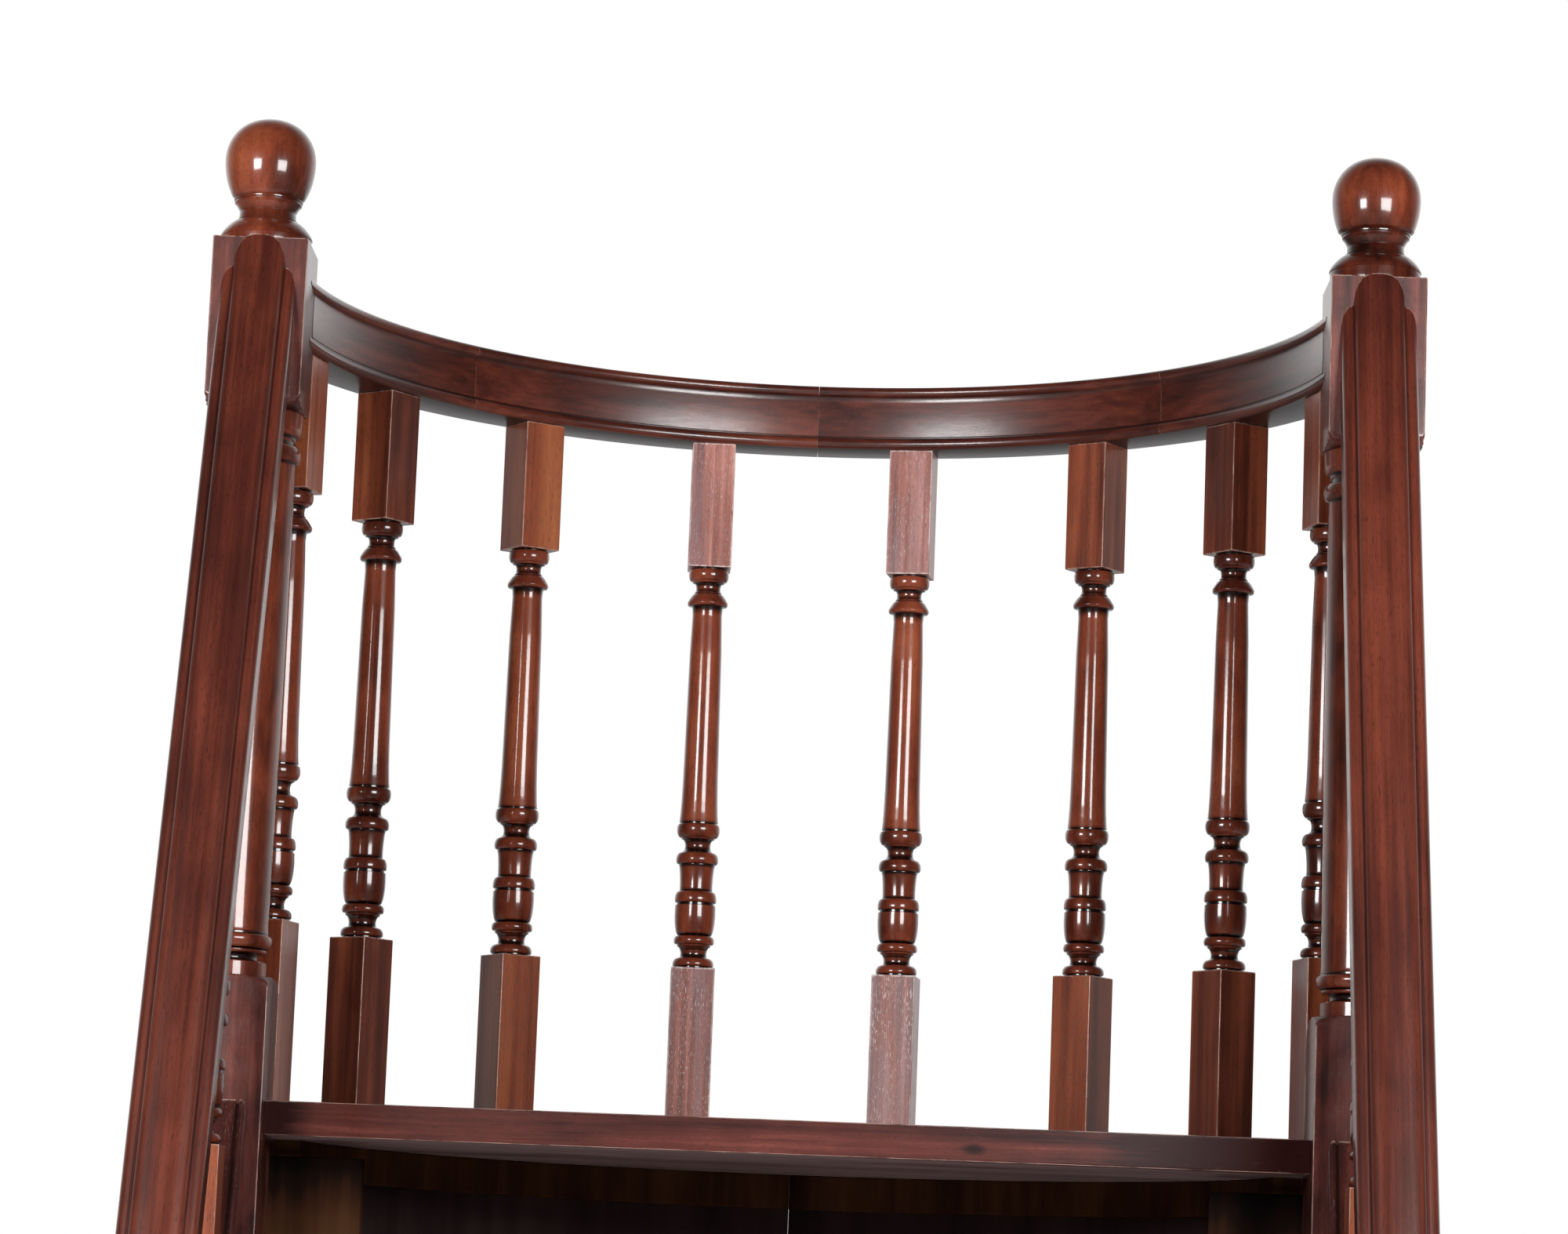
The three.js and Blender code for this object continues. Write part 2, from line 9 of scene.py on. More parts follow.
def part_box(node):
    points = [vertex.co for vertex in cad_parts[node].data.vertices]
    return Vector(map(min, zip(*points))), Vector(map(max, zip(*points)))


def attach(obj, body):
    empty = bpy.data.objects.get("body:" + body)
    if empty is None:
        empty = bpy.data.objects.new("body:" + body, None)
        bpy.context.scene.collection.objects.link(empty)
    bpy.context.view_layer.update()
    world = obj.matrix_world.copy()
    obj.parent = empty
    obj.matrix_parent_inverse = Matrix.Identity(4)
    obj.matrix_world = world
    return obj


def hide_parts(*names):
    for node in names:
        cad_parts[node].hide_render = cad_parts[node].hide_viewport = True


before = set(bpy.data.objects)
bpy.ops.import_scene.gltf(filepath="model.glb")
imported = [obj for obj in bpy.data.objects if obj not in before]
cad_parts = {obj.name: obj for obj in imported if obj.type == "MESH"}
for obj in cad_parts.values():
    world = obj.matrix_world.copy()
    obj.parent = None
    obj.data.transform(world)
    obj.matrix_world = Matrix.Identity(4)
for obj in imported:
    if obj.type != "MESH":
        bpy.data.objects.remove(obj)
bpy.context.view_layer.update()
scene = bpy.context.scene

# Places read from the frame, in metres
BOARD_LOW, BOARD_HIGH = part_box("platform_front_board")
NEWEL_LOW, NEWEL_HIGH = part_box("top_newel_right")
BOTTOM_LOW, BOTTOM_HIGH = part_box("bottom_newel_right")
PLATFORM_TOP = BOARD_HIGH.z
PLATFORM_UNDER = BOARD_LOW.z
PLATFORM_FRONT = BOARD_LOW.y
BOARD_JOINT = BOARD_HIGH.y
NEWEL_X = (NEWEL_LOW.x + NEWEL_HIGH.x) / 2
NEWEL_Y = (NEWEL_LOW.y + NEWEL_HIGH.y) / 2
NEWEL_HALF = (NEWEL_HIGH.x - NEWEL_LOW.x) / 2
NEWEL_INNER = NEWEL_X - NEWEL_HALF
NEWEL_FRONT = NEWEL_LOW.y
NEWEL_BACK = NEWEL_HIGH.y
NEWEL_TOP = NEWEL_HIGH.z
BOTTOM_Y = (BOTTOM_LOW.y + BOTTOM_HIGH.y) / 2
BOTTOM_BACK = BOTTOM_HIGH.y
RAIL_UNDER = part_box("rail_left_end")[0].z
FLAT_BOARD_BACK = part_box("flat_board_right")[1].y

# Sizes that the frame's boxes don't give
MM = 0.001
GAP = 0.3 * MM
BOW_FORWARD = 45 * MM
BOW_RADIUS = 452 * MM
BOW_CENTRE = Vector((0, NEWEL_Y - BOW_FORWARD, 0))
RIM_RADIUS = 480 * MM
RISERS = 8
GOING = 78 * MM
SLOPE = math.atan2(PLATFORM_TOP / RISERS, GOING)
BALUSTER_HALF = 19.5 * MM
STAIR_BALUSTERS = 4
HANDRAIL_RISE = 3 * MM
HANDRAIL_DEPTH = 45 * MM
STRING_DROP = 15 * MM
STRING_WIDTH = 200 * MM
STRING_HALF = 16 * MM
TREAD_HOUSING = 7 * MM
TREAD_ARRIS = 0.8 * MM
BEARER_THICKNESS = 20 * MM
BEARER_DEPTH = 30 * MM
PLINTH_THICKNESS = 12 * MM
PLINTH_HEIGHT = 110 * MM
PLINTH_ROUND = 6 * MM

# The back panel lies inside the bow's middle line, the bearer inside it and the plinth outside
PANEL_INNER = -18 * MM
BEARER_OUTER = PANEL_INNER - GAP
BEARER_INNER = BEARER_OUTER - BEARER_THICKNESS

# Reach of the rounding, the wear and the darkening from the edges and the quirks. The darkening in the quirks
# stands partly for dirt and partly for painted shade.
ARRIS = 1.0 * MM
WEAR_REACH = 2.0 * MM
END_REACH = 1.2 * MM
QUIRK_DARK_REACH = 2.6 * MM
QUIRK_DARK_FROM = 0.1 * MM
QUIRK_DARK_DEPTH = 0.75 * MM

# The middle of a rounded arris lies this share of its radius inside both faces
ARRIS_CUT = 0.3
BLOCK_END_INSET = 0.6 * ARRIS
BLOCK_END_RISE = 0.5 * ARRIS

# Edge values of a rubbed arris, of a rail's cut end and of the middle of a block's end
RUBBED = 0.9
SCUFFED = 0.72
END_STAIN = -0.5

ARC_STEP = math.radians(2.5)
SHARP_ANGLE = 34.0
GRAIN_SHIFT = 9
rng = random.Random(7)

# The photo's camera: its place from the middle between the top newels at the platform's top, its
# yaw, pitch and roll in degrees, and its focal length beside the photo's width in pixels
CAMERA_PLACE = (44.37 * MM, -4037.54 * MM, -210.87 * MM)
CAMERA_TURNS = (-0.89, 8.80, 2.22)
FOCAL_PIXELS = 6312.97
PHOTO_WIDTH = 2000
SENSOR_WIDTH = 36


def make_camera():
    across, along, above = CAMERA_PLACE
    place = Vector((across, NEWEL_Y + along, PLATFORM_TOP + above))
    yaw, pitch, roll = (math.radians(a) for a in CAMERA_TURNS)
    ahead = Vector((math.sin(yaw) * math.cos(pitch), math.cos(yaw) * math.cos(pitch), math.sin(pitch)))
    level = Vector((math.cos(yaw), -math.sin(yaw), 0))
    upright = level.cross(ahead)
    right = math.cos(roll) * level + math.sin(roll) * upright
    up = math.cos(roll) * upright - math.sin(roll) * level
    camera = bpy.data.objects.new("camera", bpy.data.cameras.new("camera"))
    camera.data.sensor_width = SENSOR_WIDTH
    camera.data.lens = SENSOR_WIDTH * FOCAL_PIXELS / PHOTO_WIDTH
    turn = Matrix((right, up, -ahead)).transposed()
    camera.matrix_world = Matrix.Translation(place) @ turn.to_4x4()
    scene.collection.objects.link(camera)
    scene.camera = camera


# Node helpers

class Tree:
    """A node tree with short ways to add nodes and to join them."""

    def __init__(self, tree):
        self.tree = tree
        tree.nodes.clear()

    def add(self, kind, settings=None, **inputs):
        node = self.tree.nodes.new(kind)
        for name, value in (settings or {}).items():
            setattr(node, name, value)
        for name, value in inputs.items():
            self.set(node, name.replace("_", " "), value)
        return node

    def set(self, node, name, value):
        """Sets or links an input, given by its name or by its number as text."""
        socket = node.inputs[int(name)] if name.isdigit() else node.inputs[name]
        if isinstance(value, bpy.types.NodeSocket):
            self.tree.links.new(value, socket)
        else:
            socket.default_value = value

    def attribute(self, name, output="Fac"):
        return self.add("ShaderNodeAttribute", {"attribute_name": name}).outputs[output]

    def maths(self, operation, first, second=0.0, third=0.0, clamp=False):
        node = self.add("ShaderNodeMath", {"operation": operation, "use_clamp": clamp})
        for socket, value in zip("012", (first, second, third)):
            self.set(node, socket, value)
        return node.outputs[0]

    def swing(self, noise, weight):
        """A noise as a swing about nothing, with a weight."""
        return self.maths("MULTIPLY", self.maths("SUBTRACT", noise, 0.5), weight)

    def length(self, vector):
        return self.add("ShaderNodeVectorMath", {"operation": "LENGTH"}, Vector=vector).outputs["Value"]

    def timber_noise(self, grain, across, along, detail, distortion=0.0, start=(0, 0, 0)):
        """Noise over the grain's own coordinates, with a scale per metre across and along it."""
        mapping = self.add("ShaderNodeMapping", Vector=grain, Scale=(across, across, along), Location=start)
        noise = self.add("ShaderNodeTexNoise", Vector=mapping.outputs[0], Scale=1.0, Detail=detail,
                         Distortion=distortion)
        return noise.outputs[0]

    def ramp(self, factor, stops):
        """A ramp through (place, value) stops, each value a grey or a colour."""
        node = self.add("ShaderNodeValToRGB", Fac=factor)
        elements = node.color_ramp.elements
        while len(elements) < len(stops):
            elements.new(0.5)
        for element, (place, colour) in zip(elements, stops):
            element.position = place
            grey = isinstance(colour, (int, float))
            element.color = (colour, colour, colour, 1) if grey else (*colour, 1)
        return node.outputs["Color"]

    def mix(self, factor, first, second, blend="MIX"):
        """A mix of two colours, which has its factor at socket 0 and its colours at 6 and 7."""
        node = self.add("ShaderNodeMix", {"data_type": "RGBA", "blend_type": blend})
        self.set(node, "0", factor)
        for socket, value in (("6", first), ("7", second)):
            self.set(node, socket, (*value, 1) if isinstance(value, tuple) else value)
        return node.outputs[2]


def new_material(name):
    material = bpy.data.materials.new(name)
    material.use_nodes = True
    return material, Tree(material.node_tree)


# Materials

WORN = (0.52, 0.33, 0.27)
# A chalky white. Its flecks and the dry blocks' pale arrises stand partly for chalk and wear and partly for
# painted glints of the lamps.
CHALK_AND_GLINT = (0.85, 0.74, 0.7)
HAZE = (0.27, 0.2, 0.23)
VARNISH_IOR = 1.5
PORE_DEPTH = 0.2 * MM
FILM_DEPTH = 0.06 * MM

# Each noise of the timber: its scale per metre across and along the grain, its detail, its
# distortion and where it starts. The figure's scale across the grain is each timber's own.
FIGURE_NOISE = (1.8, 5.0, 0.8)
TIMBER_NOISE = {
    "growth": (9, 3.5, 3.0, 0.4, (3, 1, 5)),
    "streaks": (170, 4, 3.0, 0.3, (1, 4, 2)),
    "mottle": (48, 24, 3.0, 0.3, (2, 2, 7)),
    "fibre": (900, 16, 2.0),
    "pores": (1500, 150, 2.0),
    "haze": (75, 5, 2.0, 0.5, (7, 7, 2)),
    "specks": (1400, 230, 2.0, 0.0, (9, 2, 4)),
    "patches": (70, 24, 2.0, 0.0, (1, 8, 2)),
    "rubbing": (260, 45, 3.0, 0.0, (5, 5, 1)),
    "waves": (130, 90, 2.0, 0.0, (4, 4, 4)),
    "dust": (1300, 900, 1.0, 0.0, (6, 1, 4)),
}

# Weights of the layers that every timber has alike
FIGURE_WEIGHT = 0.8
GROWTH_WEIGHT = 0.5
FIBRE_WEIGHT = 0.14

# Places of a timber's four colours, from dark to pale, on the scale of its tones
TONE_PLACES = (0.2, 0.42, 0.66, 0.95)


def shaded(colour, share):
    return tuple(share * c for c in colour)


def timber_body(t, noise, colours, tone, figure, fibre, streak, mottle, fine):
    """The timber's colour before wear, and its pores."""
    layers = (
        (FIGURE_WEIGHT, figure),
        (GROWTH_WEIGHT, noise("growth")),
        (streak, noise("streaks")),
        (mottle, noise("mottle")),
        (FIBRE_WEIGHT * fine, fibre),
    )
    for weight, layer in layers:
        tone = t.maths("ADD", tone, t.swing(layer, weight))
    body = t.ramp(tone, list(zip(TONE_PLACES, colours)))
    pits = t.ramp(noise("pores"), [(0.58, 0.0), (0.7, 1.0)])
    return t.mix(t.maths("MULTIPLY", pits, 0.6 * fine), body, shaded(colours[1], 0.2)), pits


def add_knot(t, body, knot, figure, dark):
    """A knot at a place, with its spread given as how many of it a metre holds on each axis."""
    place, per_metre = knot
    spot = t.add("ShaderNodeTexCoord").outputs["Object"]
    start = tuple(-c * s for c, s in zip(place, per_metre))
    spot = t.add("ShaderNodeMapping", Vector=spot, Location=start, Scale=per_metre)
    away = t.maths("ADD", t.length(spot.outputs[0]), t.swing(figure, 1.6))
    return t.mix(t.ramp(away, [(0.35, 0.85), (0.9, 0.0)]), body, shaded(dark, 0.3))


def add_chalk_and_glints(t, noise, body, edge, flecks):
    """Pale flecks in patches, most of them where the edge value is that of dry timber. They stand
    partly for chalk in the pores and partly for painted glints of the lamps.
    """
    specks = t.ramp(noise("specks"), [(0.6, 0.0), (0.68, 1.0)])
    patches = t.ramp(noise("patches"), [(0.4, 0.15), (0.6, 1.0)])
    dryness = t.ramp(edge, [(0.02, 0.12), (0.45, 1.0)])
    amount = t.maths("MULTIPLY", t.maths("MULTIPLY", specks, patches), flecks)
    return t.mix(t.maths("MULTIPLY", amount, dryness), body, CHALK_AND_GLINT)


def add_wear_and_quirk_dark(t, noise, body, edge, worn, dark):
    """Pale rubbed arrises, and the dark of the quirks, which stands partly for dirt and partly for painted
    shade.
    """
    rubbed = t.ramp(noise("rubbing"), [(0.36, 0.1), (0.56, 1.0)])
    pale_edge = t.ramp(edge, [(0.5, 0.0), (0.95, 1.0)])
    rubbed = t.maths("MULTIPLY", t.maths("MULTIPLY", rubbed, pale_edge), 0.9, clamp=True)
    body = t.mix(rubbed, body, worn)
    dark_quirk = t.maths("MULTIPLY", edge, -0.95, clamp=True)
    return t.mix(dark_quirk, body, shaded(dark, 0.12))


def wood(name, colours, rough, gloss, coat, coat_rough=0.14, flecks=0.0, figure=30.0, streak=0.35,
         mottle=0.15, fine=1.0, bump=0.3, skin=1.0, speckle=0.15, veil=0.0, worn=WORN, knot=None):
    """Polished timber. Its nodes read each piece's own grain coordinates, its tone, from dark to
    light, which in places carries painted light and shade, and its edge: dry from 0 to 0.5, worn pale
    towards 1 and dark towards -1, partly as dirt in the quirks and partly as painted shade."""
    material, t = new_material(name)
    grain = t.attribute("grain", "Vector")
    edge = t.attribute("edge")
    tone = t.attribute("tone")
    dark = colours[0]

    def noise(kind):
        return t.timber_noise(grain, *TIMBER_NOISE[kind])

    # The gloss and the coat fade out where the tone is lowest, which keeps the painted shadow at the ends of
    # the platform's front edge without sheen.
    polish = t.ramp(tone, [(0.0, 0.1), (0.34, 1.0)])
    fibre = noise("fibre")
    broad = t.timber_noise(grain, figure, *FIGURE_NOISE)
    body, pits = timber_body(t, noise, colours, tone, broad, fibre, streak, mottle, fine)
    if veil:
        body = t.mix(t.ramp(noise("haze"), [(0.44, 0.0), (0.6, veil)]), body, HAZE)
    if knot:
        body = add_knot(t, body, knot, broad, dark)
    if flecks:
        body = add_chalk_and_glints(t, noise, body, edge, flecks)
    body = add_wear_and_quirk_dark(t, noise, body, edge, worn, dark)

    roughness = t.maths("MULTIPLY_ADD", fibre, 0.08, rough - 0.04)
    height = t.maths("MULTIPLY_ADD", pits, -0.8, fibre)
    relief = t.add("ShaderNodeBump", Strength=bump, Distance=PORE_DEPTH, Height=height)
    film = t.maths("ADD", noise("waves"), t.maths("MULTIPLY", noise("dust"), speckle))
    film = t.add("ShaderNodeBump", Strength=skin, Distance=FILM_DEPTH, Height=film)
    shader = t.add("ShaderNodeBsdfPrincipled", IOR=VARNISH_IOR, Base_Color=body, Roughness=roughness,
                   Normal=relief.outputs[0], Specular_IOR_Level=t.maths("MULTIPLY", polish, gloss),
                   Coat_Weight=t.maths("MULTIPLY", polish, coat), Coat_Roughness=coat_rough,
                   Coat_IOR=VARNISH_IOR, Coat_Normal=film.outputs[0])
    t.add("ShaderNodeOutputMaterial", Surface=shader.outputs[0])
    return material


# Colours of each timber, from dark to pale
MAHOGANY = ((0.03, 0.006, 0.0035), (0.12, 0.025, 0.012), (0.3, 0.072, 0.03), (0.46, 0.15, 0.055))
AUBURN = ((0.022, 0.0045, 0.0025), (0.095, 0.018, 0.0085), (0.22, 0.046, 0.021), (0.35, 0.09, 0.04))
CHERRY = ((0.03, 0.006, 0.004), (0.085, 0.016, 0.009), (0.18, 0.038, 0.02), (0.3, 0.07, 0.035))
ROSY = ((0.03, 0.008, 0.007), (0.12, 0.028, 0.021), (0.28, 0.078, 0.055), (0.45, 0.16, 0.11))
DRIED = ((0.06, 0.018, 0.016), (0.16, 0.045, 0.035), (0.32, 0.105, 0.078), (0.54, 0.235, 0.19))
# Near-black timber, put as painted shade on the back panel's inner face under the platform.
PAINTED_SHADE = ((0.026, 0.015, 0.015), (0.045, 0.026, 0.026), (0.07, 0.041, 0.04), (0.1, 0.06, 0.058))
# Very dark, partly as painted shade under the platform, for the flat boards and the bearer.
PLAIN = ((0.0015, 0.0008, 0.0006), (0.011, 0.004, 0.002), (0.05, 0.018, 0.008), (0.11, 0.048, 0.02))
# The pale colours of the platform's underside stand partly for dust and partly for painted light from below
# and a painted sheen.
DUST_AND_PAINTED_LIGHT = ((0.28, 0.18, 0.17), (0.68, 0.5, 0.49), (0.82, 0.66, 0.65), (0.87, 0.74, 0.74))

# The place and the spread of the knot in the platform's edge
EDGE_KNOT = ((0.152, PLATFORM_FRONT, PLATFORM_TOP - 0.018), (75.0, 20.0, 150.0))


def make_materials():
    return {
        "flat": wood("mahogany blocks", MAHOGANY, rough=0.34, gloss=0.3, coat=0.7, coat_rough=0.15,
                     flecks=0.1),
        "newel": wood("mahogany newels", ROSY, rough=0.36, gloss=0.35, coat=0.6, coat_rough=0.16,
                      flecks=0.15, streak=0.3, mottle=0.55),
        "dry": wood("dry mahogany blocks", DRIED, rough=0.36, gloss=0.5, coat=0.15, coat_rough=0.2,
                    flecks=0.75, streak=0.9, mottle=0.3, bump=0.5, veil=0.35, worn=CHALK_AND_GLINT),
        "turned": wood("polished turning", AUBURN, rough=0.3, gloss=0.15, coat=0.9, coat_rough=0.1,
                       streak=0.25, mottle=0.6, bump=0.12, skin=0.35),
        "rail": wood("dark mahogany", CHERRY, rough=0.34, gloss=0.4, coat=0.9, coat_rough=0.2, figure=22.0,
                     streak=0.5, mottle=0.22, bump=0.15, skin=1.4, speckle=0.5),
        "board": wood("board mahogany", ROSY, rough=0.32, gloss=0.3, coat=0.45, coat_rough=0.2, flecks=0.12,
                      figure=24.0, bump=0.2, knot=EDGE_KNOT),
        "plain": wood("plain timber", PLAIN, rough=0.6, gloss=0.05, coat=0.0, figure=20.0, streak=0.2,
                      fine=0.0, bump=0.05),
        "shade": wood("blackened timber", PAINTED_SHADE, rough=0.7, gloss=0.05, coat=0.0, figure=20.0, streak=0.1,
                      fine=0.0, bump=0.02),
        "dust_and_painted_light": wood("dusty underside", DUST_AND_PAINTED_LIGHT, rough=0.5, gloss=0.4, coat=0.4, coat_rough=0.3, figure=24.0),
    }


# Mesh builders

def loft(name, loops, grain, edge, materials, slot_name, tone, finish=None):
    """A closed body through loops of equal length, with its ends capped. It replaces the CAD node of
    its name. Where there are two materials, finish says which one each face between two loops has."""
    loops = np.asarray(loops, float)
    count, size = loops.shape[:2]
    rows = np.arange(count * size).reshape(count, size)
    low, high = rows[:-1], rows[1:]
    quads = np.stack([low, np.roll(low, -1, 1), np.roll(high, -1, 1), high], -1).reshape(-1, 4)
    faces = quads.tolist() + [rows[0][::-1].tolist(), rows[-1].tolist()]
    mesh = bpy.data.meshes.new(name)
    mesh.from_pydata(loops.reshape(-1, 3).tolist(), [], faces)
    shift = np.array([rng.uniform(-GRAIN_SHIFT, GRAIN_SHIFT) for _ in range(3)])
    grain = np.asarray(grain, float) + shift
    mesh.attributes.new("grain", "FLOAT_VECTOR", "POINT").data.foreach_set("vector", grain.ravel())
    for label, values in (("edge", edge), ("tone", tone)):
        values = np.broadcast_to(np.asarray(values, float), (count, size))
        mesh.attributes.new(label, "FLOAT", "POINT").data.foreach_set("value", values.ravel())
    for material in materials:
        mesh.materials.append(material)
    if finish is not None:
        finish = np.broadcast_to(finish, (count - 1, size))
        indices = np.append(finish, [finish[0, 0], finish[-1, 0]]).astype(int)
        mesh.polygons.foreach_set("material_index", indices)
    mesh.shade_smooth()
    mesh.set_sharp_from_angle(angle=math.radians(SHARP_ANGLE))
    piece = bpy.data.objects.new(name, mesh)
    scene.collection.objects.link(piece)
    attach(piece, "root")
    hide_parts(name)
    return piece


def from_face(angle):
    """How far an angle lies from the middle of a square's nearest face."""
    return abs((angle + math.pi / 4) % (math.pi / 2) - math.pi / 4)


def square_reach(angle, half, arris):
    """Distance from a square's middle to its side at an angle, with its corners rounded."""
    turn = from_face(angle)
    flat = half - arris
    if half * math.tan(turn) <= flat:
        return half / math.cos(turn)
    middle = flat * (math.cos(turn) + math.sin(turn))
    return middle + math.sqrt(max(middle ** 2 - 2 * flat ** 2 + arris ** 2, 0))


def post_angles(half):
    """Even angles for the turning, with more at the corners of the blocks."""
    even = [math.radians(7.5 * k) for k in range(6)]
    arc = math.pi / 4 - math.atan((half - ARRIS) / half)
    fade = math.pi / 4 - math.atan((half - WEAR_REACH) / half)
    corner = [math.pi / 4 - a for a in (fade, arc, arc / 2)]
    eighth = even + corner
    quarter = eighth + [math.pi / 4] + [math.pi / 2 - a for a in reversed(eighth[1:])]
    return np.array([a + k * math.pi / 2 for k in range(4) for a in quarter])


class Post:
    """Rows of a post about an upright axis: square blocks, shoulders and turnings."""

    def __init__(self, half, tone):
        self.half = half
        self.angles = post_angles(half)
        self.square = np.array([square_reach(a, half, ARRIS) for a in self.angles])
        from_corner = half * (1 - np.tan(from_face(self.angles)))
        self.corner = np.clip(1 - from_corner / WEAR_REACH, 0, 1)
        self.tone = tone
        self.loops = []
        self.edge = []
        self.tones = []
        self.finish = []

    def row(self, height, reach, edge, slant=0.0, finish=0):
        x = np.sin(self.angles) * reach
        y = np.cos(self.angles) * reach
        self.loops.append(np.stack([x, y, height + slant * y], -1))
        self.edge.append(np.broadcast_to(edge, self.angles.shape).astype(float))
        self.tones.append(self.tone)
        self.finish.append(finish)

    def end(self, level, way, beside, core):
        """A block's softened end. way is 1 where the block goes up from it and -1 where it comes up
        to it, beside is the edge value of its faces there, and core adds the end's stained middle."""
        rows = [
            (0, self.square - BLOCK_END_INSET, RUBBED),
            (BLOCK_END_RISE, self.square, RUBBED),
            (WEAR_REACH, self.square, beside),
        ]
        if core:
            rows.insert(0, (0, self.square * 0.5, END_STAIN))
        for inwards, reach, edge in rows[::way]:
            self.row(level + way * inwards, reach, edge)

    def block(self, low, high, low_cut=None, high_cut=None, dry=(0, 0)):
        """A square block. Its ends are softened, or cut straight at the given slant. dry tells how
        dry its faces are from the low end to the high end."""
        below, above = (np.maximum(self.corner, share * 0.5) for share in dry)
        if low_cut is None:
            self.end(low, 1, below, core=True)
        else:
            self.row(low, self.square, below, low_cut)
        if high_cut is None:
            self.end(high, -1, above, core=False)
        else:
            self.row(high, self.square, above, high_cut)

    def shoulder(self, square_end, round_end):
        """The corners of a block turned away from its square end to its round end."""
        corner = self.half * math.sqrt(2)
        steps = 12
        way = 1 if round_end > square_end else -1
        for k in range(steps + 1)[::way]:
            share = k / steps
            limit = self.half + (corner - self.half) * math.sqrt(1 - share ** 2)
            height = square_end + (round_end - square_end) * share
            edge = np.where(self.square > limit, 0.2, self.corner)
            self.row(height, np.minimum(self.square, limit), edge)

    def turning(self, profile, shades=((0, 0),), quirk_darkness=1.0):
        """Rows of a turning, darkened where it turns in on itself, partly as dirt and partly as painted
        shade. shades hold heights with what each adds to its tone."""
        whole = self.tone
        radii, heights = (np.array(values) for values in zip(*profile))
        # Equal heights are parted by a hair, because the interpolation needs them to rise
        heights = heights + np.arange(len(heights)) * 1e-7
        extra = [place for low, high in zip(heights, heights[1:]) if high - low > 2.2 * QUIRK_DARK_REACH
                 for place in (low + QUIRK_DARK_REACH, high - QUIRK_DARK_REACH)]
        places = np.sort(np.concatenate([heights, extra]))
        radii = np.interp(places, heights, radii)
        below = np.interp(places - QUIRK_DARK_REACH, places, radii)
        above = np.interp(places + QUIRK_DARK_REACH, places, radii)
        # The darkening where the turning turns in on itself is partly dirt and partly painted shade.
        dark_quirk = np.clip(((below + above) / 2 - radii - QUIRK_DARK_FROM) / QUIRK_DARK_DEPTH, 0, 1) * quirk_darkness
        added = np.interp(places, *zip(*shades))
        for height, radius, dark, more in zip(places, radii, dark_quirk, added):
            self.tone = whole + more
            self.row(height, radius, -dark, finish=1)
        self.tone = whole


def profile_from(moves):
    """Points of a turning, as (radius, height). Each move goes to a height and a radius by a line, by
    a rise, which ends along the axis, by a set, which starts along it, or by a swell, which also
    has the radius that it swells to. The first move is the start."""
    steps = 9
    points = []
    for kind, height, radius, *apex in moves:
        if kind == "line":
            points.append((radius, height))
            continue
        r0, z0 = points[-1]
        for k in range(1, steps + 1):
            turn = math.pi / 2 * k / steps
            bulge = 0.0
            if kind == "rise":
                across, up = math.sin(turn), 1 - math.cos(turn)
            elif kind == "set":
                across, up = 1 - math.cos(turn), math.sin(turn)
            else:
                across = up = (1 - math.cos(2 * turn)) / 2
                bulge = (apex[0] - (r0 + radius) / 2) * math.sin(2 * turn)
            points.append((r0 + (radius - r0) * across + bulge, z0 + (height - z0) * up))
    return points


def in_metres(profile, lift=0.0):
    return [(radius * MM, lift + height * MM) for radius, height in profile]


def arc_body(name, section, start, end, materials, slot_name, tone, finish=None, upright=False, worn=SCUFFED):
    """A member round the bow. The section holds (outward, height, edge) points, and start and end
    give the angle from +Y at which the line of each point begins and stops. Its grain runs straight
    from end to end, or upright. worn is the edge value of its ends."""
    outs, heights, edge = np.array(section).T
    radii = BOW_RADIUS + outs
    begin = np.array([start(r) for r in radii])
    stop = np.array([end(r) for r in radii])
    span = abs(stop.mean() - begin.mean())
    middle = (begin.mean() + stop.mean()) / 2
    steps = max(2, int(span / ARC_STEP))
    near = END_REACH / BOW_RADIUS / span
    shares = np.concatenate([[0, near], np.arange(1, steps) / steps, [1 - near, 1]])
    loops, grain, edges = [], [], []
    for share in shares:
        angle = begin + (stop - begin) * share
        x = BOW_CENTRE.x + radii * np.sin(angle)
        y = BOW_CENTRE.y + radii * np.cos(angle)
        loops.append(np.stack([x, y, heights], -1))
        outward = radii * np.cos(angle - middle)
        along = radii * np.sin(angle - middle)
        grain.append(np.stack([outward, along, heights] if upright else [outward, heights, along], -1))
        edges.append(np.where(edge < 0, edge, np.maximum(edge, worn if share in (0, 1) else 0)))
    if stop.mean() < begin.mean():
        loops, grain, edges = loops[::-1], grain[::-1], edges[::-1]
    loft(name, loops, grain, edges, materials, slot_name, tone, finish)


def sloping_body(name, section, x, front_height, material, slot_name, tone=0.5):
    """A member down the slope between the newels. The section holds (across, depth, edge) points,
    with depth measured square to the slope from a line that meets the top newel at front_height."""
    across, depth, edge = np.array(section).T
    stations = ((NEWEL_FRONT - GAP, RUBBED), (NEWEL_FRONT - END_REACH, 0), (BOTTOM_BACK + END_REACH, 0),
                (BOTTOM_BACK + GAP, RUBBED))
    loops, grain, edges = [], [], []
    for y, worn in stations:
        z = front_height - (NEWEL_FRONT - y) * math.tan(SLOPE) + depth / math.cos(SLOPE)
        loops.append(np.stack([x + across, np.full_like(across, y), z], -1))
        grain.append(np.stack([across, depth, z / math.sin(SLOPE)], -1))
        edges.append(np.where(edge < 0, edge, np.maximum(edge, worn)))
    loft(name, loops, grain, edges, [material], slot_name, tone)


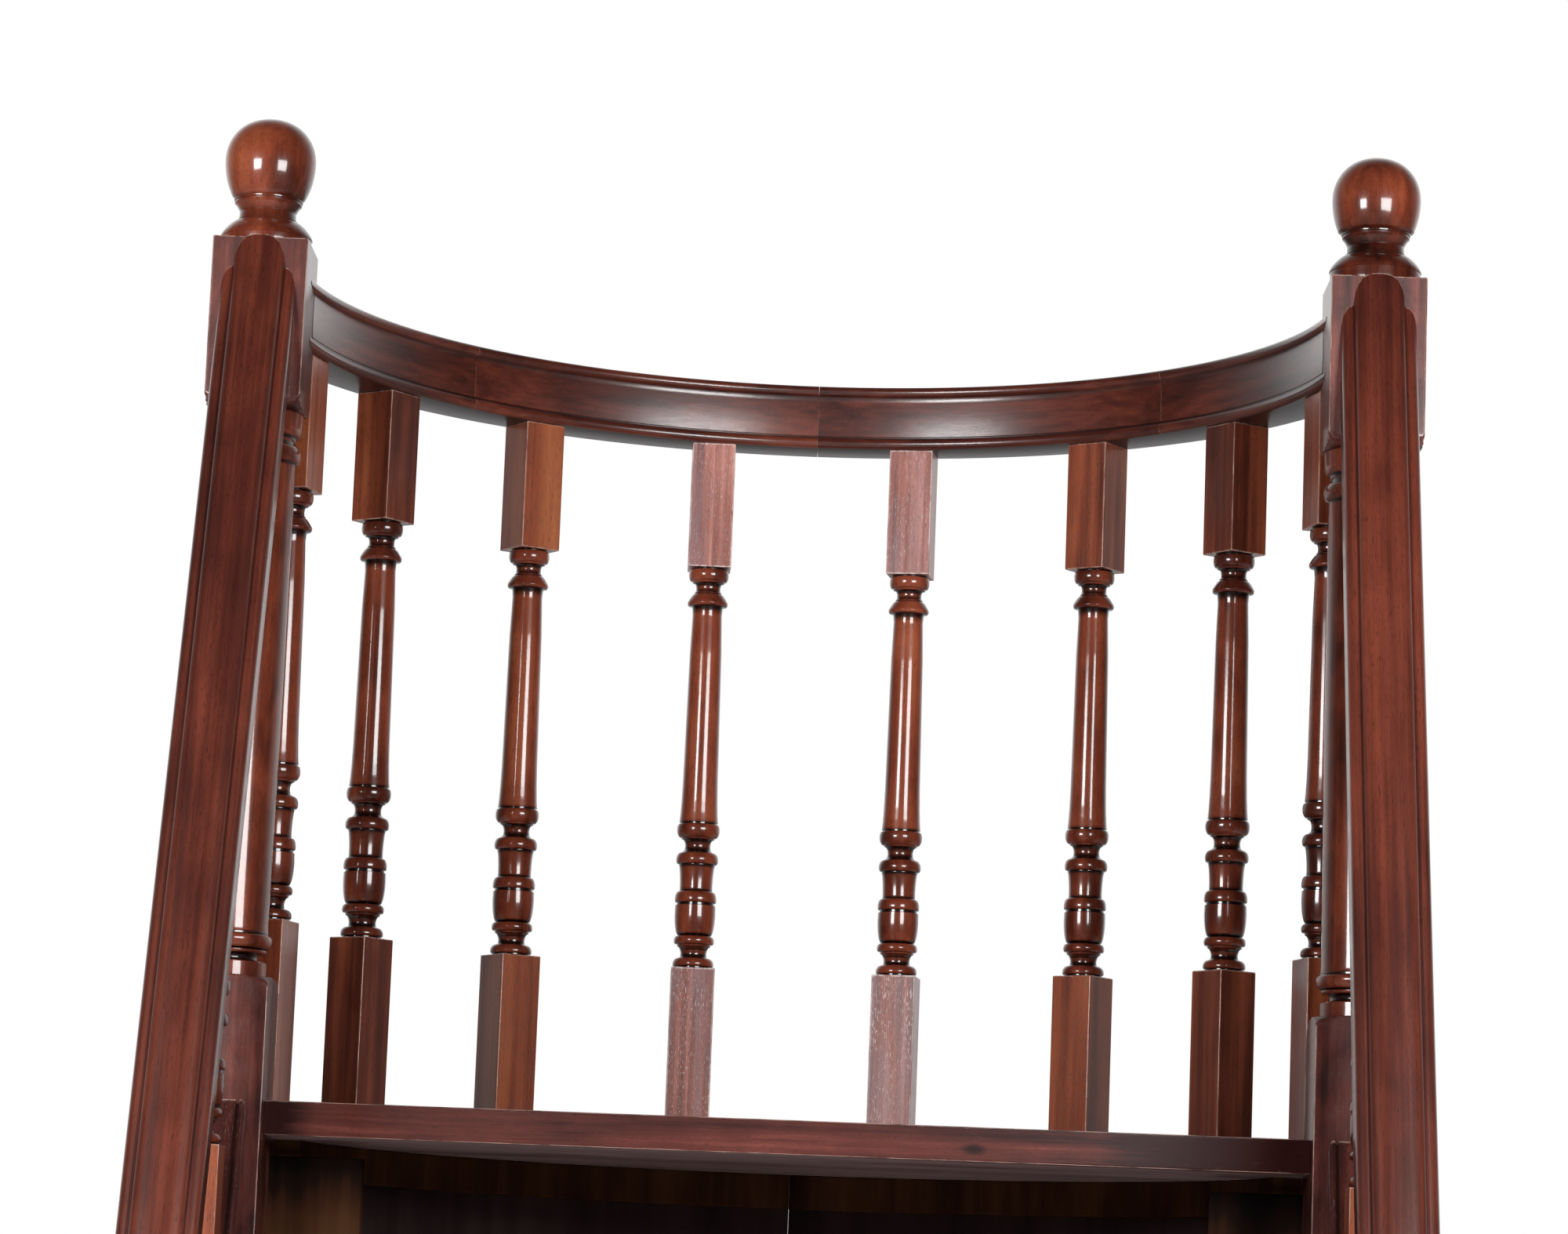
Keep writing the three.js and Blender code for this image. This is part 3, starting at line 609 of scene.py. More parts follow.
def inset_outline(outline, distance):
    """An outline moved inwards, its corners mitred."""
    points = np.asarray(outline, float)
    ahead = np.roll(points, -1, 0) - points
    ahead /= np.linalg.norm(ahead, axis=1)[:, None]
    behind = np.roll(ahead, 1, 0)
    normal = np.stack([-ahead[:, 1], ahead[:, 0]], -1) + np.stack([-behind[:, 1], behind[:, 0]], -1)
    square = (normal ** 2).sum(1) / 2
    return points + normal / square[:, None] * distance


def slab(name, outline, low, high, through, along, materials, slot_name, arris=ARRIS, tone=0.5, worn=1.0,
         bands=()):
    """A board with softened arrises. It goes from low to high on the axis through, its outline lies
    in the plane of the next two axes, and its grain runs along an axis, 0 or 2. Its tone is one for
    all or one for each point of the outline, or else bands hold levels with a tone each. A second
    material goes on its low face."""
    outline = np.asarray(outline, float)
    tone = np.broadcast_to(np.asarray(tone, float), len(outline))
    beyond = np.roll(outline, -1, 0)
    if (outline[:, 0] * beyond[:, 1] - outline[:, 1] * beyond[:, 0]).sum() < 0:
        outline, tone = outline[::-1], tone[::-1]
    soft = arris * ARRIS_CUT
    rounding = [(WEAR_REACH, 0, 0), (arris, 0, 0.4), (soft, soft, 1), (0, arris, 0.4), (0, WEAR_REACH, 0)]
    rings = [(inset, low + depth, wear) for inset, depth, wear in rounding]
    rings += [(0, level, 0) for level, _ in bands]
    rings += [(inset, high - depth, wear) for inset, depth, wear in reversed(rounding)]
    loops, edges, tones = [], [], []
    for inset, level, wear in rings:
        levels = np.full((len(outline), 1), level)
        loop = np.hstack([inset_outline(outline, inset), levels])
        loops.append(np.roll(loop, through + 1, axis=1))
        edges.append(np.full(len(outline), wear * worn))
        tones.append(np.full(len(outline), np.interp(level, *zip(*bands))) if bands else tone)
    grain = np.roll(loops, 2 - along, axis=2)
    finish = [[1]] + [[0]] * (len(rings) - 2) if len(materials) > 1 else None
    loft(name, loops, grain, edges, materials, slot_name, tones, finish)


# Turned work, in millimetres, as moves for profile_from. Heights are from the foot of a baluster or
# a finial, and from the platform's top for a newel.

LOWER_BLOCK = 153.4
UPPER_BLOCK = 516.6
BALUSTER_LOWER = [
    ("line", LOWER_BLOCK, 18.4), ("line", 154.0, 17.0), ("line", 154.8, 17.0), ("rise", 157.2, 18.5),
    ("set", 162.8, 13.9), ("line", 163.2, 13.2), ("swell", 173.0, 14.6, 11.8), ("line", 173.4, 15.0),
    ("line", 174.8, 15.2), ("line", 175.2, 16.6), ("rise", 178.2, 18.2), ("set", 182.6, 15.2),
    ("line", 183.0, 14.4), ("rise", 203.0, 18.4), ("line", 210.0, 18.2), ("line", 210.5, 16.9),
    ("line", 212.4, 16.9), ("line", 212.8, 18.0), ("rise", 215.2, 18.8), ("set", 222.4, 16.0),
    ("line", 222.8, 15.1), ("swell", 246.4, 16.3, 14.9), ("line", 247.0, 16.2), ("line", 247.5, 17.3),
    ("rise", 251.2, 19.0), ("set", 257.6, 15.2), ("line", 258.0, 14.0), ("line", 258.8, 13.4),
    ("swell", 269.6, 13.9, 11.4), ("line", 270.0, 14.8), ("line", 271.0, 15.0), ("rise", 278.2, 19.3),
    ("set", 283.2, 17.8), ("line", 283.5, 16.6), ("line", 284.6, 16.6), ("line", 284.9, 17.5),
    ("line", 292.0, 16.9), ("line", 304.0, 16.3), ("line", 322.0, 15.8),
]
BALUSTER_UPPER = [
    ("line", 440.0, 14.4), ("line", 474.0, 13.3), ("line", 479.5, 13.7), ("line", 481.8, 14.3),
    ("line", 482.3, 16.9), ("rise", 484.8, 18.3), ("swell", 493.0, 13.3, 16.5), ("line", 493.4, 12.5),
    ("line", 494.6, 12.4), ("swell", 503.2, 12.8, 11.0), ("line", 503.6, 14.3), ("line", 504.8, 14.7),
    ("line", 505.1, 15.6), ("rise", 510.8, 18.1), ("set", 515.2, 16.9), ("line", 515.6, 15.8),
    ("line", 516.4, 15.8),
]
NEWEL_TURNING = [
    ("line", 100.0, 33.0), ("line", 111.4, 33.0), ("line", 112.2, 32.2), ("line", 112.6, 26.8),
    ("swell", 118.6, 27.0, 25.2), ("line", 119.0, 30.6), ("swell", 122.6, 31.2, 32.4), ("line", 123.2, 33.0),
    ("swell", 134.0, 34.2, 36.4), ("line", 134.6, 33.4), ("line", 136.0, 33.4), ("rise", 147.0, 32.5),
    ("line", 330.0, 33.9), ("line", 526.0, 34.4), ("line", 527.4, 35.6), ("swell", 541.0, 35.4, 38.8),
    ("swell", 549.2, 35.0, 33.8), ("rise", 556.5, 38.4), ("line", 567.5, 38.8), ("line", 569.6, 37.4),
]
FINIAL_TURNING = [
    ("line", 0.0, 37.4), ("line", 1.2, 37.6), ("line", 6.0, 37.6), ("swell", 20.2, 25.9, 34.8),
    ("line", 20.6, 25.2), ("line", 21.6, 25.1), ("line", 21.9, 24.3), ("line", 23.0, 23.9),
    ("line", 27.8, 23.6), ("swell", 35.4, 27.9, 25.0), ("line", 36.0, 28.1), ("line", 36.3, 27.5),
    ("line", 38.0, 27.6), ("line", 38.3, 28.6), ("line", 39.2, 28.7), ("line", 39.5, 28.2),
    ("line", 39.8, 28.6),
]

# Heights on a turning with what each adds to its tone
LOWER_SHADES = [(283, -0.18), (286, 0)]
UPPER_SHADES = [(478, 0), (484, -0.14)]
FINIAL_SHADES = [(0, -0.08), (22, -0.14), (40, -0.18), (52, -0.1), (70, 0.04), (92, 0.04), (108, -0.1)]

# Heights of the square end and the round end of a newel's shoulders
LOW_SHOULDER = (88, 100)
HIGH_SHOULDER = (582, 570)

# The ball of a finial. A fullness under 1 makes its dome fuller than an ellipse.
BALL_TOP = 108.4
BALL_MIDDLE = 73.0
BALL_LOWER = 52.5
BALL_WIDEST = 37.9
DOME_FULLNESS = 0.88
CROWN_FLAT = 0.4

# Where a finial's foot is longer, all above this height moves up
FOOT_EDGE = 2

STAIR_LOWER_BLOCK = 173.0
STAIR_SHAFT_CUT = 30.0


def ball_profile(start, widest):
    """An apple shape: a long taper below the widest place and a shallow dome above it."""
    points = []
    steps = 16
    for k in range(1, steps + 1):
        height = start + (BALL_MIDDLE - start) * k / steps
        points.append((widest * math.sqrt(1 - ((BALL_MIDDLE - height) / BALL_LOWER) ** 2), height))
    for k in range(1, steps + 1):
        turn = math.pi / 2 * k / steps
        height = BALL_MIDDLE + (BALL_TOP - BALL_MIDDLE) * math.sin(turn)
        points.append((max(widest * math.cos(turn) ** DOME_FULLNESS, CROWN_FLAT), height))
    return points


def make_post_piece(name, post, materials, place, turn=0.0, painted_side_light=0.0):
    """The piece of a post's rows, with its place baked into its mesh, so that its object stays at the
    origin. Its last argument is painted light and shade: how much lighter its timber is towards its
    +X side."""
    loops = np.array(post.loops)
    # A painted light and shade across the piece, lighter on one side.
    tones = np.array(post.tones)[:, None] + painted_side_light * np.sin(post.angles)
    finish = np.array(post.finish[:-1])[:, None]
    piece = loft(name, loops, loops, post.edge, materials, "mahogany", tones, finish)
    piece.data.transform(Matrix.Translation(place) @ Matrix.Rotation(turn, 4, "Z"))


def make_baluster(name, materials, place, turn, tones, lower=LOWER_BLOCK, shaft_cut=0.0, slant=None, foot=0.0,
                  head=RAIL_UNDER - PLATFORM_TOP, dry=0.0):
    """A baluster from foot to head, both cut at a slant where there is one. lower is the height of
    its lower block, shaft_cut shortens its shaft, and tones go for its lower block, its turning
    and its upper block."""
    lift = (lower - LOWER_BLOCK) * MM
    cut = lift - shaft_cut * MM
    post = Post(BALUSTER_HALF, tones[0])
    post.block(foot, lower * MM, low_cut=slant, dry=(dry * 0.4, dry))
    post.tone = tones[1]
    below = in_metres(profile_from(BALUSTER_LOWER), lift)
    above = in_metres(profile_from(BALUSTER_UPPER), cut)
    shades = [(lift + height * MM, more) for height, more in LOWER_SHADES]
    shades += [(cut + height * MM, more) for height, more in UPPER_SHADES]
    post.turning(below + above, shades)
    post.tone = tones[2]
    post.block(UPPER_BLOCK * MM + cut, head, high_cut=slant, dry=(dry * 0.25, dry * 0.45))
    make_post_piece(name, post, materials, place, turn)


def make_newel(name, materials, x, y, level, tones):
    """A newel whose turning is set out from a level: the platform's top, or its like lower down."""
    post = Post(NEWEL_HALF, tones[0])
    square_end, round_end = (level + height * MM for height in LOW_SHOULDER)
    post.block(0, square_end, high_cut=0.0)
    post.shoulder(square_end, round_end)
    post.tone = tones[1]
    post.turning(in_metres(profile_from(NEWEL_TURNING), level))
    post.tone = tones[2]
    square_end, round_end = (level + height * MM for height in HIGH_SHOULDER)
    post.shoulder(square_end, round_end)
    post.end(level + NEWEL_TOP - PLATFORM_TOP, -1, post.corner, core=True)
    make_post_piece(name, post, materials, (x, y, 0))


def make_finial(name, materials, place, tone, painted_side_light=0.0, widest=BALL_WIDEST, longer=0.0):
    """A ball finial. Where its foot is longer, its ball is as much shorter."""
    post = Post(NEWEL_HALF, tone)
    moves = [(kind, height + (longer if height > FOOT_EDGE else 0), *rest)
             for kind, height, *rest in FINIAL_TURNING]
    points = profile_from(moves)
    shades = [(height * MM, more) for height, more in FINIAL_SHADES]
    post.turning(in_metres(points + ball_profile(points[-1][1], widest)), shades, quirk_darkness=0.5)
    make_post_piece(name, post, materials, place, painted_side_light=painted_side_light)


# Sections of the mouldings, in millimetres from their own middle lines, with edge values

FASCIA_OUT = 22.7
FASCIA_LOW = 11.5
FASCIA_HEIGHT = 35.5
FASCIA_BULGE = 0.45
CROWN_HALF = 20.7
CROWN_HEIGHT = 8.8
CROWN_SHARES = (0.995, 0.98, 0.95, 0.91, 0.86, 0.8, 0.72, 0.62, 0.5, 0.36, 0.2, 0.06)


def mirrored(half, level=0.0):
    """A whole section, in metres and over a level, from its right half, listed from the bottom up."""
    whole = half + [(-a, b, wear) for a, b, wear in reversed(half)]
    return [(a * MM, level + b * MM, wear) for a, b, wear in whole]


def rounded(centre, radii, start, end, steps, wear=0.0):
    """Points of an arc in a section, between two angles in degrees."""
    angles = [math.radians(start + (end - start) * k / steps) for k in range(steps + 1)]
    return [(centre[0] + radii[0] * math.cos(a), centre[1] + radii[1] * math.sin(a), wear) for a in angles]


def rail_section():
    steps = 8
    half = [(21.0, 0.0, 0), (22.6, 0.3, 0.3)]
    half += rounded((22.4, 5.2), (3.2, 4.4), -70, 80, 9)
    half += [(22.2, 10.0, -0.8), (22.2, 11.0, -0.8), (FASCIA_OUT, FASCIA_LOW, 0.2)]
    for k in range(1, steps):
        out = FASCIA_OUT + FASCIA_BULGE * math.sin(math.pi * k / steps)
        half.append((out, FASCIA_LOW + FASCIA_HEIGHT * k / steps, 0))
    half += [(FASCIA_OUT, FASCIA_LOW + FASCIA_HEIGHT, -0.5), (23.3, 48.0, -0.7)]
    half += rounded((22.5, 52.6), (4.0, 4.6), -74, 84, 9)
    half += [(20.0, 57.5, 0)]
    return mirrored(half, RAIL_UNDER)


def handrail_section():
    half = [(26.0, -45.0, 0), (29.0, -44.5, 0.4), (30.0, -43.0, 0.4), (30.0, -26.0, 0), (29.6, -24.6, -0.6)]
    half += [(30.4, -23.4, -0.2), (31.0, -21.6, 0)]
    half += rounded((22.4, -17.2), (8.6, 7.6), -4, 84, 12)
    half += [(22.4, -9.6, 0.3), (21.9, -9.8, -0.3), (21.2, -9.6, -0.6), (CROWN_HALF, -CROWN_HEIGHT, -0.2)]
    half += [(CROWN_HALF * s, -CROWN_HEIGHT + CROWN_HEIGHT * (1 - s ** 3) ** 0.5, 0) for s in CROWN_SHARES]
    return mirrored(half)


def capping_section():
    half = [(25.8, -14.7, 0.4), (27.0, -13.5, 0.6), (27.0, -4.0, 0)]
    half += rounded((23.2, -4.0), (3.8, 4.0), 0, 110, 8, 0.5)
    half += [(20.6, -1.4, -0.8), (19.4, -1.2, -0.8), (18.6, -0.2, 0.3)]
    return mirrored(half)


def ring_section(inner, outer, low, high, top_round=0.0):
    """A plain upright section in metres between two distances from the bow's middle line."""
    soft = ARRIS * ARRIS_CUT
    points = [(outer - ARRIS, low, 0.6), (outer, low + ARRIS, 0.6), (outer, low + WEAR_REACH, 0)]
    points += [(outer, high - WEAR_REACH - top_round, 0), (outer - top_round - soft, high - soft, 0.8)]
    points += [(inner + ARRIS, high, 0.6), (inner, high - ARRIS, 0.6), (inner, high - WEAR_REACH, 0)]
    points += [(inner, low + WEAR_REACH, 0), (inner, low + ARRIS, 0.6), (inner + ARRIS, low, 0.6)]
    return points


# The gallery

RAIL_TONES = {
    "rail_left_end": 0.48, "rail_left_middle": 0.45,
    "rail_right_middle": 0.46, "rail_right_end": 0.42,
}
UNDERSIDE_TONE = 0.12

# Tones of each bow baluster's lower block, turning and upper block, from the bow's middle outwards
BOW_TONES = {
    "left": ((0.54, 0.74, 0.73), (0.62, 0.7, 0.7), (0.4, 0.58, 0.5), (0.56, 0.64, 0.62)),
    "right": ((0.54, 0.7, 0.52), (0.56, 0.66, 0.6), (0.44, 0.6, 0.55), (0.5, 0.6, 0.5)),
}

# How much of the turn towards the bow's centre each of them has
BOW_TURNS = {"left": (0.22, 1, 1, 1), "right": (0.75, 1, 1, 1)}


def make_bow_baluster(name, tones, turned, middle, paint):
    """One of the bow's balusters. The two in the middle are dry."""
    low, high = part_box(name)
    x = (low.x + high.x) / 2
    y = (low.y + high.y) / 2
    turn = -math.atan2(x - BOW_CENTRE.x, y - BOW_CENTRE.y) * turned
    blocks = paint["dry"] if middle else paint["flat"]
    dry = 1.0 if middle else 0.1
    make_baluster(name, [blocks, paint["turned"]], (x, y, PLATFORM_TOP), turn, tones, dry=dry)


def rail_end(radius):
    """Angle at which a line of the rail meets a newel: at its back or else at its inner face, but no
    further forward than its middle."""
    back = math.acos((NEWEL_BACK + GAP - BOW_CENTRE.y) / radius)
    inner = NEWEL_INNER - GAP
    if radius * math.sin(back) > inner:
        return back
    level = math.acos((NEWEL_Y - BOW_CENTRE.y) / radius)
    return min(level, math.asin(min(inner / radius, 1)))


def make_gallery(paint):
    for word in ("left", "right"):
        for k, (tones, turned) in enumerate(zip(BOW_TONES[word], BOW_TURNS[word]), 1):
            make_bow_baluster(f"bow_baluster_{word}_{k}", tones, turned, k == 1, paint)
    quarter = math.pi / 4
    joint = GAP / BOW_RADIUS / 2
    spans = {
        "rail_left_end": (lambda r: -quarter - joint, lambda r: -rail_end(r)),
        "rail_left_middle": (lambda r: -joint, lambda r: -quarter + joint),
        "rail_right_middle": (lambda r: joint, lambda r: quarter - joint),
        "rail_right_end": (lambda r: quarter + joint, rail_end),
    }
    section = rail_section()
    below = np.array(section)[:, 1] <= RAIL_UNDER
    for name, (start, end) in spans.items():
        tones = np.where(below, UNDERSIDE_TONE, RAIL_TONES[name])
        arc_body(name, section, start, end, [paint["rail"]], "dark_mahogany", tones)


# The platform and the curved back under it

BOARD_TONE = 0.4

# Places along the platform's front edge: the side, the millimetres from its newel, and the tone. The tone
# falls towards each newel as a painted shadow of the newels and handrails.
FRONT_EDGE_PAINTED_SHADOW = ((-1, 0.3, 0.1), (-1, 16, 0.16), (-1, 42, 0.42), (1, 170, 0.42), (1, 80, 0.12), (1, 0.3, -0.1))

BACK_TONE = 0.5
# The back panel's inner face takes the near-black timber as painted shade.
PANEL_INSIDE_TONE = 0.4
BEARER_TONE = 0.72


def rim_angle(y):
    """Angle from +X at which the platform's rim reaches y."""
    return math.asin((y - BOW_CENTRE.y) / RIM_RADIUS)


def rim_points(start, end):
    count = max(2, int(abs(end - start) / ARC_STEP))
    angles = [start + (end - start) * k / count for k in range(count + 1)]
    return [(BOW_CENTRE.x + RIM_RADIUS * math.cos(a), BOW_CENTRE.y + RIM_RADIUS * math.sin(a))
            for a in angles]


def make_platform(paint):
    # The underside's pale timber is partly dust and partly painted light from below.
    materials = [paint["board"], paint["dust_and_painted_light"]]
    behind = NEWEL_BACK + GAP
    right = rim_points(rim_angle(behind), rim_angle(BOARD_JOINT))
    left = [(-x, y) for x, y in reversed(right)]
    outline = [(side * (NEWEL_INNER - reach * MM), PLATFORM_FRONT) for side, reach, _ in FRONT_EDGE_PAINTED_SHADOW]
    outline += [(NEWEL_INNER - GAP, behind), *right, *left, (-NEWEL_INNER + GAP, behind)]
    # The front edge's tones darken towards the newels as a painted shadow.
    tones = [tone for _, _, tone in FRONT_EDGE_PAINTED_SHADOW]
    tones += [BOARD_TONE] * (len(outline) - len(tones))
    start = rim_angle(BOARD_JOINT + GAP)
    rim = rim_points(start, math.pi - start)
    boards = (("platform_front_board", outline, tones), ("platform_back_board", rim, BOARD_TONE))
    for name, edge, tone in boards:
        slab(name, edge, PLATFORM_UNDER, PLATFORM_TOP, 2, 0, materials, "mahogany", tone=tone)


def make_curved_back(paint):
    def to_boards(radius):
        return math.acos((FLAT_BOARD_BACK - BOW_CENTRE.y) / radius)

    panel = ring_section(PANEL_INNER, 0, 0, PLATFORM_UNDER)
    bearer = ring_section(BEARER_INNER, BEARER_OUTER, PLATFORM_UNDER - BEARER_DEPTH, PLATFORM_UNDER)
    unworn_bearer = [(out, level, 0) for out, level, _ in bearer]
    plinth = ring_section(GAP, GAP + PLINTH_THICKNESS, 0, PLINTH_HEIGHT, PLINTH_ROUND)
    rows = (
        ("back_panel", panel, "rail", "mahogany", BACK_TONE),
        ("platform_bearer", unworn_bearer, "plain", "plain_timber", BEARER_TONE),
        ("plinth", plinth, "rail", "mahogany", BACK_TONE),
    )
    for kind, section, finish, slot_name, tone in rows:
        outs = np.array(section)[:, 0]
        # The inner face of the back panel gets the near-black timber as painted shade.
        within = (outs < outs.min() + WEAR_REACH) & (kind == "back_panel")
        tones = np.where(within, PANEL_INSIDE_TONE, tone)
        in_painted_shade = (within & np.roll(within, -1)).astype(int)
        for word, side in (("left", -1), ("right", 1)):
            arc_body(f"{kind}_{word}", section, lambda r, s=side: s * GAP / 2 / r,
                     lambda r, s=side: s * to_boards(r), [paint[finish], paint["shade"]], slot_name, tones,
                     in_painted_shade, upright=True, worn=0.0)


# The two sides

# Tones of a newel's lower block, its turning and its upper block. The lower block's low tone stands partly
# for dark stain and partly for painted shade low down by the platform.
NEWEL_TONES = {"left": (0.33, 0.5, 0.34), "right": (0.33, 0.5, 0.43)}
TOP_FINIALS = {
    # Each top finial is lighter on the side towards its nearer lamp, as painted light.
    "left": {"tone": 0.66, "painted_side_light": -0.16},
    "right": {"tone": 0.5, "painted_side_light": 0.1, "widest": 36.9, "longer": 4.0},
}
BOTTOM_FINIAL_TONE = 0.5
CAPPING_TONE = 0.28
STAIR_TONES = (0.64, 0.54, 0.5)

# A flat board's tone, and how much of it is left at each distance in millimetres under the platform. The
# board darkens towards its top as a painted shadow of the platform.
FLAT_BOARD_TONES = {"left": 0.9, "right": 0.75}
FLAT_BOARD_PAINTED_SHADOW = ((120, 1), (80, 1), (50, 0.8), (25, 0.5), (8, 0.3))
NOSE_STEPS = 12


def make_newels(word, x, paint):
    materials = [paint["newel"], paint["turned"]]
    lower_level = BOTTOM_HIGH.z - (NEWEL_TOP - PLATFORM_TOP)
    make_newel(f"top_newel_{word}", materials, x, NEWEL_Y, PLATFORM_TOP, NEWEL_TONES[word])
    make_newel(f"bottom_newel_{word}", materials, x, BOTTOM_Y, lower_level, NEWEL_TONES[word])
    make_finial(f"top_finial_{word}", materials, (x, NEWEL_Y, NEWEL_TOP), **TOP_FINIALS[word])
    make_finial(f"bottom_finial_{word}", materials, (x, BOTTOM_Y, BOTTOM_HIGH.z), BOTTOM_FINIAL_TONE)


def make_flat_board(word, paint):
    name = f"flat_board_{word}"
    low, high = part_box(name)
    outline = [(low.x, low.y), (high.x, low.y), (high.x, high.y), (low.x, high.y)]
    # The bands darken the board's top as a painted shadow of the platform.
    bands = [(high.z - drop * MM, FLAT_BOARD_TONES[word] * share) for drop, share in FLAT_BOARD_PAINTED_SHADOW]
    slab(name, outline, low.z, high.z, 2, 2, [paint["plain"]], "plain_timber", worn=0.3, bands=bands)


def make_string(word, paint):
    """The string, from its upper edge under the capping back to its lower edge."""
    depth = STRING_DROP / math.sin(SLOPE)
    width = STRING_WIDTH / math.sin(SLOPE)

    def front(y):
        return PLATFORM_TOP - (NEWEL_FRONT - y + depth) * math.tan(SLOPE)

    top = NEWEL_FRONT - GAP
    bottom = BOTTOM_BACK + GAP
    heel = NEWEL_FRONT - PLATFORM_TOP / math.tan(SLOPE) + depth + width
    back = front(top) - width * math.tan(SLOPE)
    outline = [(bottom, 0), (heel, 0), (top, back), (top, front(top)), (bottom, front(bottom))]
    name = f"string_{word}"
    low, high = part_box(name)
    middle = (low.x + high.x) / 2
    slab(name, outline, middle - STRING_HALF, middle + STRING_HALF, 0, 2, [paint["board"]], "mahogany")


def make_stair_balusters(word, x, crown, paint):
    """The balusters between a string's capping and a handrail whose top meets the newel at crown."""
    gap = GAP / math.cos(SLOPE)
    under = crown - PLATFORM_TOP - HANDRAIL_DEPTH / math.cos(SLOPE)
    for k in range(1, STAIR_BALUSTERS + 1):
        name = f"stair_baluster_{word}_{k}"
        low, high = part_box(name)
        y = (low.y + high.y) / 2
        surface = PLATFORM_TOP - (NEWEL_FRONT - y) * math.tan(SLOPE)
        make_baluster(name, [paint["flat"], paint["turned"]], (x, y, surface), 0, STAIR_TONES,
                      lower=STAIR_LOWER_BLOCK, shaft_cut=STAIR_SHAFT_CUT, slant=math.tan(SLOPE), foot=gap,
                      head=under - gap)


def make_side(word, side, paint):
    x = side * NEWEL_X
    crown = NEWEL_TOP + HANDRAIL_RISE
    make_newels(word, x, paint)
    sloping_body(f"handrail_{word}", handrail_section(), x, crown, paint["rail"], "dark_mahogany")
    sloping_body(f"string_capping_{word}", capping_section(), x, PLATFORM_TOP, paint["board"], "mahogany",
                 CAPPING_TONE)
    make_flat_board(word, paint)
    make_string(word, paint)
    make_stair_balusters(word, x, crown, paint)


def make_treads(paint):
    """The treads, with round nosings, in the strings' housings or between the top newels."""
    in_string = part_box("string_right")[0].x + TREAD_HOUSING
    for step in range(1, RISERS):
        name = f"tread_{step}"
        low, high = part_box(name)
        middle = (low.z + high.z) / 2
        half = (high.z - low.z) / 2
        nose = [(low.y + half - half * math.sin(a), middle + half * math.cos(a))
                for a in np.linspace(0, math.pi, NOSE_STEPS + 1)]
        outline = [*nose, (high.y, low.z), (high.y, high.z)]
        reach = in_string if high.y < NEWEL_FRONT else NEWEL_INNER - GAP
        slab(name, outline, -reach, reach, 0, 0, [paint["board"]], "mahogany", arris=TREAD_ARRIS)


# Studio

# Each lamp's place from the middle between the top newels at the platform's top, its size and its
# power. The lamps aim a little above that middle.
LAMPS = {
    "left lamp": ((-1.75, -2.6, 0.64), (1.0, 0.7), 60),
    "right lamp": ((1.24, -2.25, 0.61), (1.15, 0.7), 50),
}
LAMP_AIM = 0.1
FLOOR_REACH = 9.0
FLOOR_SIDES = 64


def make_lamps():
    target = Vector((0, NEWEL_Y, PLATFORM_TOP + LAMP_AIM))
    for name, ((x, y, z), size, power) in LAMPS.items():
        light = bpy.data.lights.new(name, "AREA")
        light.shape = "RECTANGLE"
        light.size, light.size_y = size
        light.energy = power
        lamp = bpy.data.objects.new(name, light)
        lamp.location = (x, NEWEL_Y + y, PLATFORM_TOP + z)
        lamp.rotation_mode = "QUATERNION"
        lamp.rotation_quaternion = (target - lamp.location).to_track_quat("-Z", "Y")
        lamp.visible_camera = False
        scene.collection.objects.link(lamp)


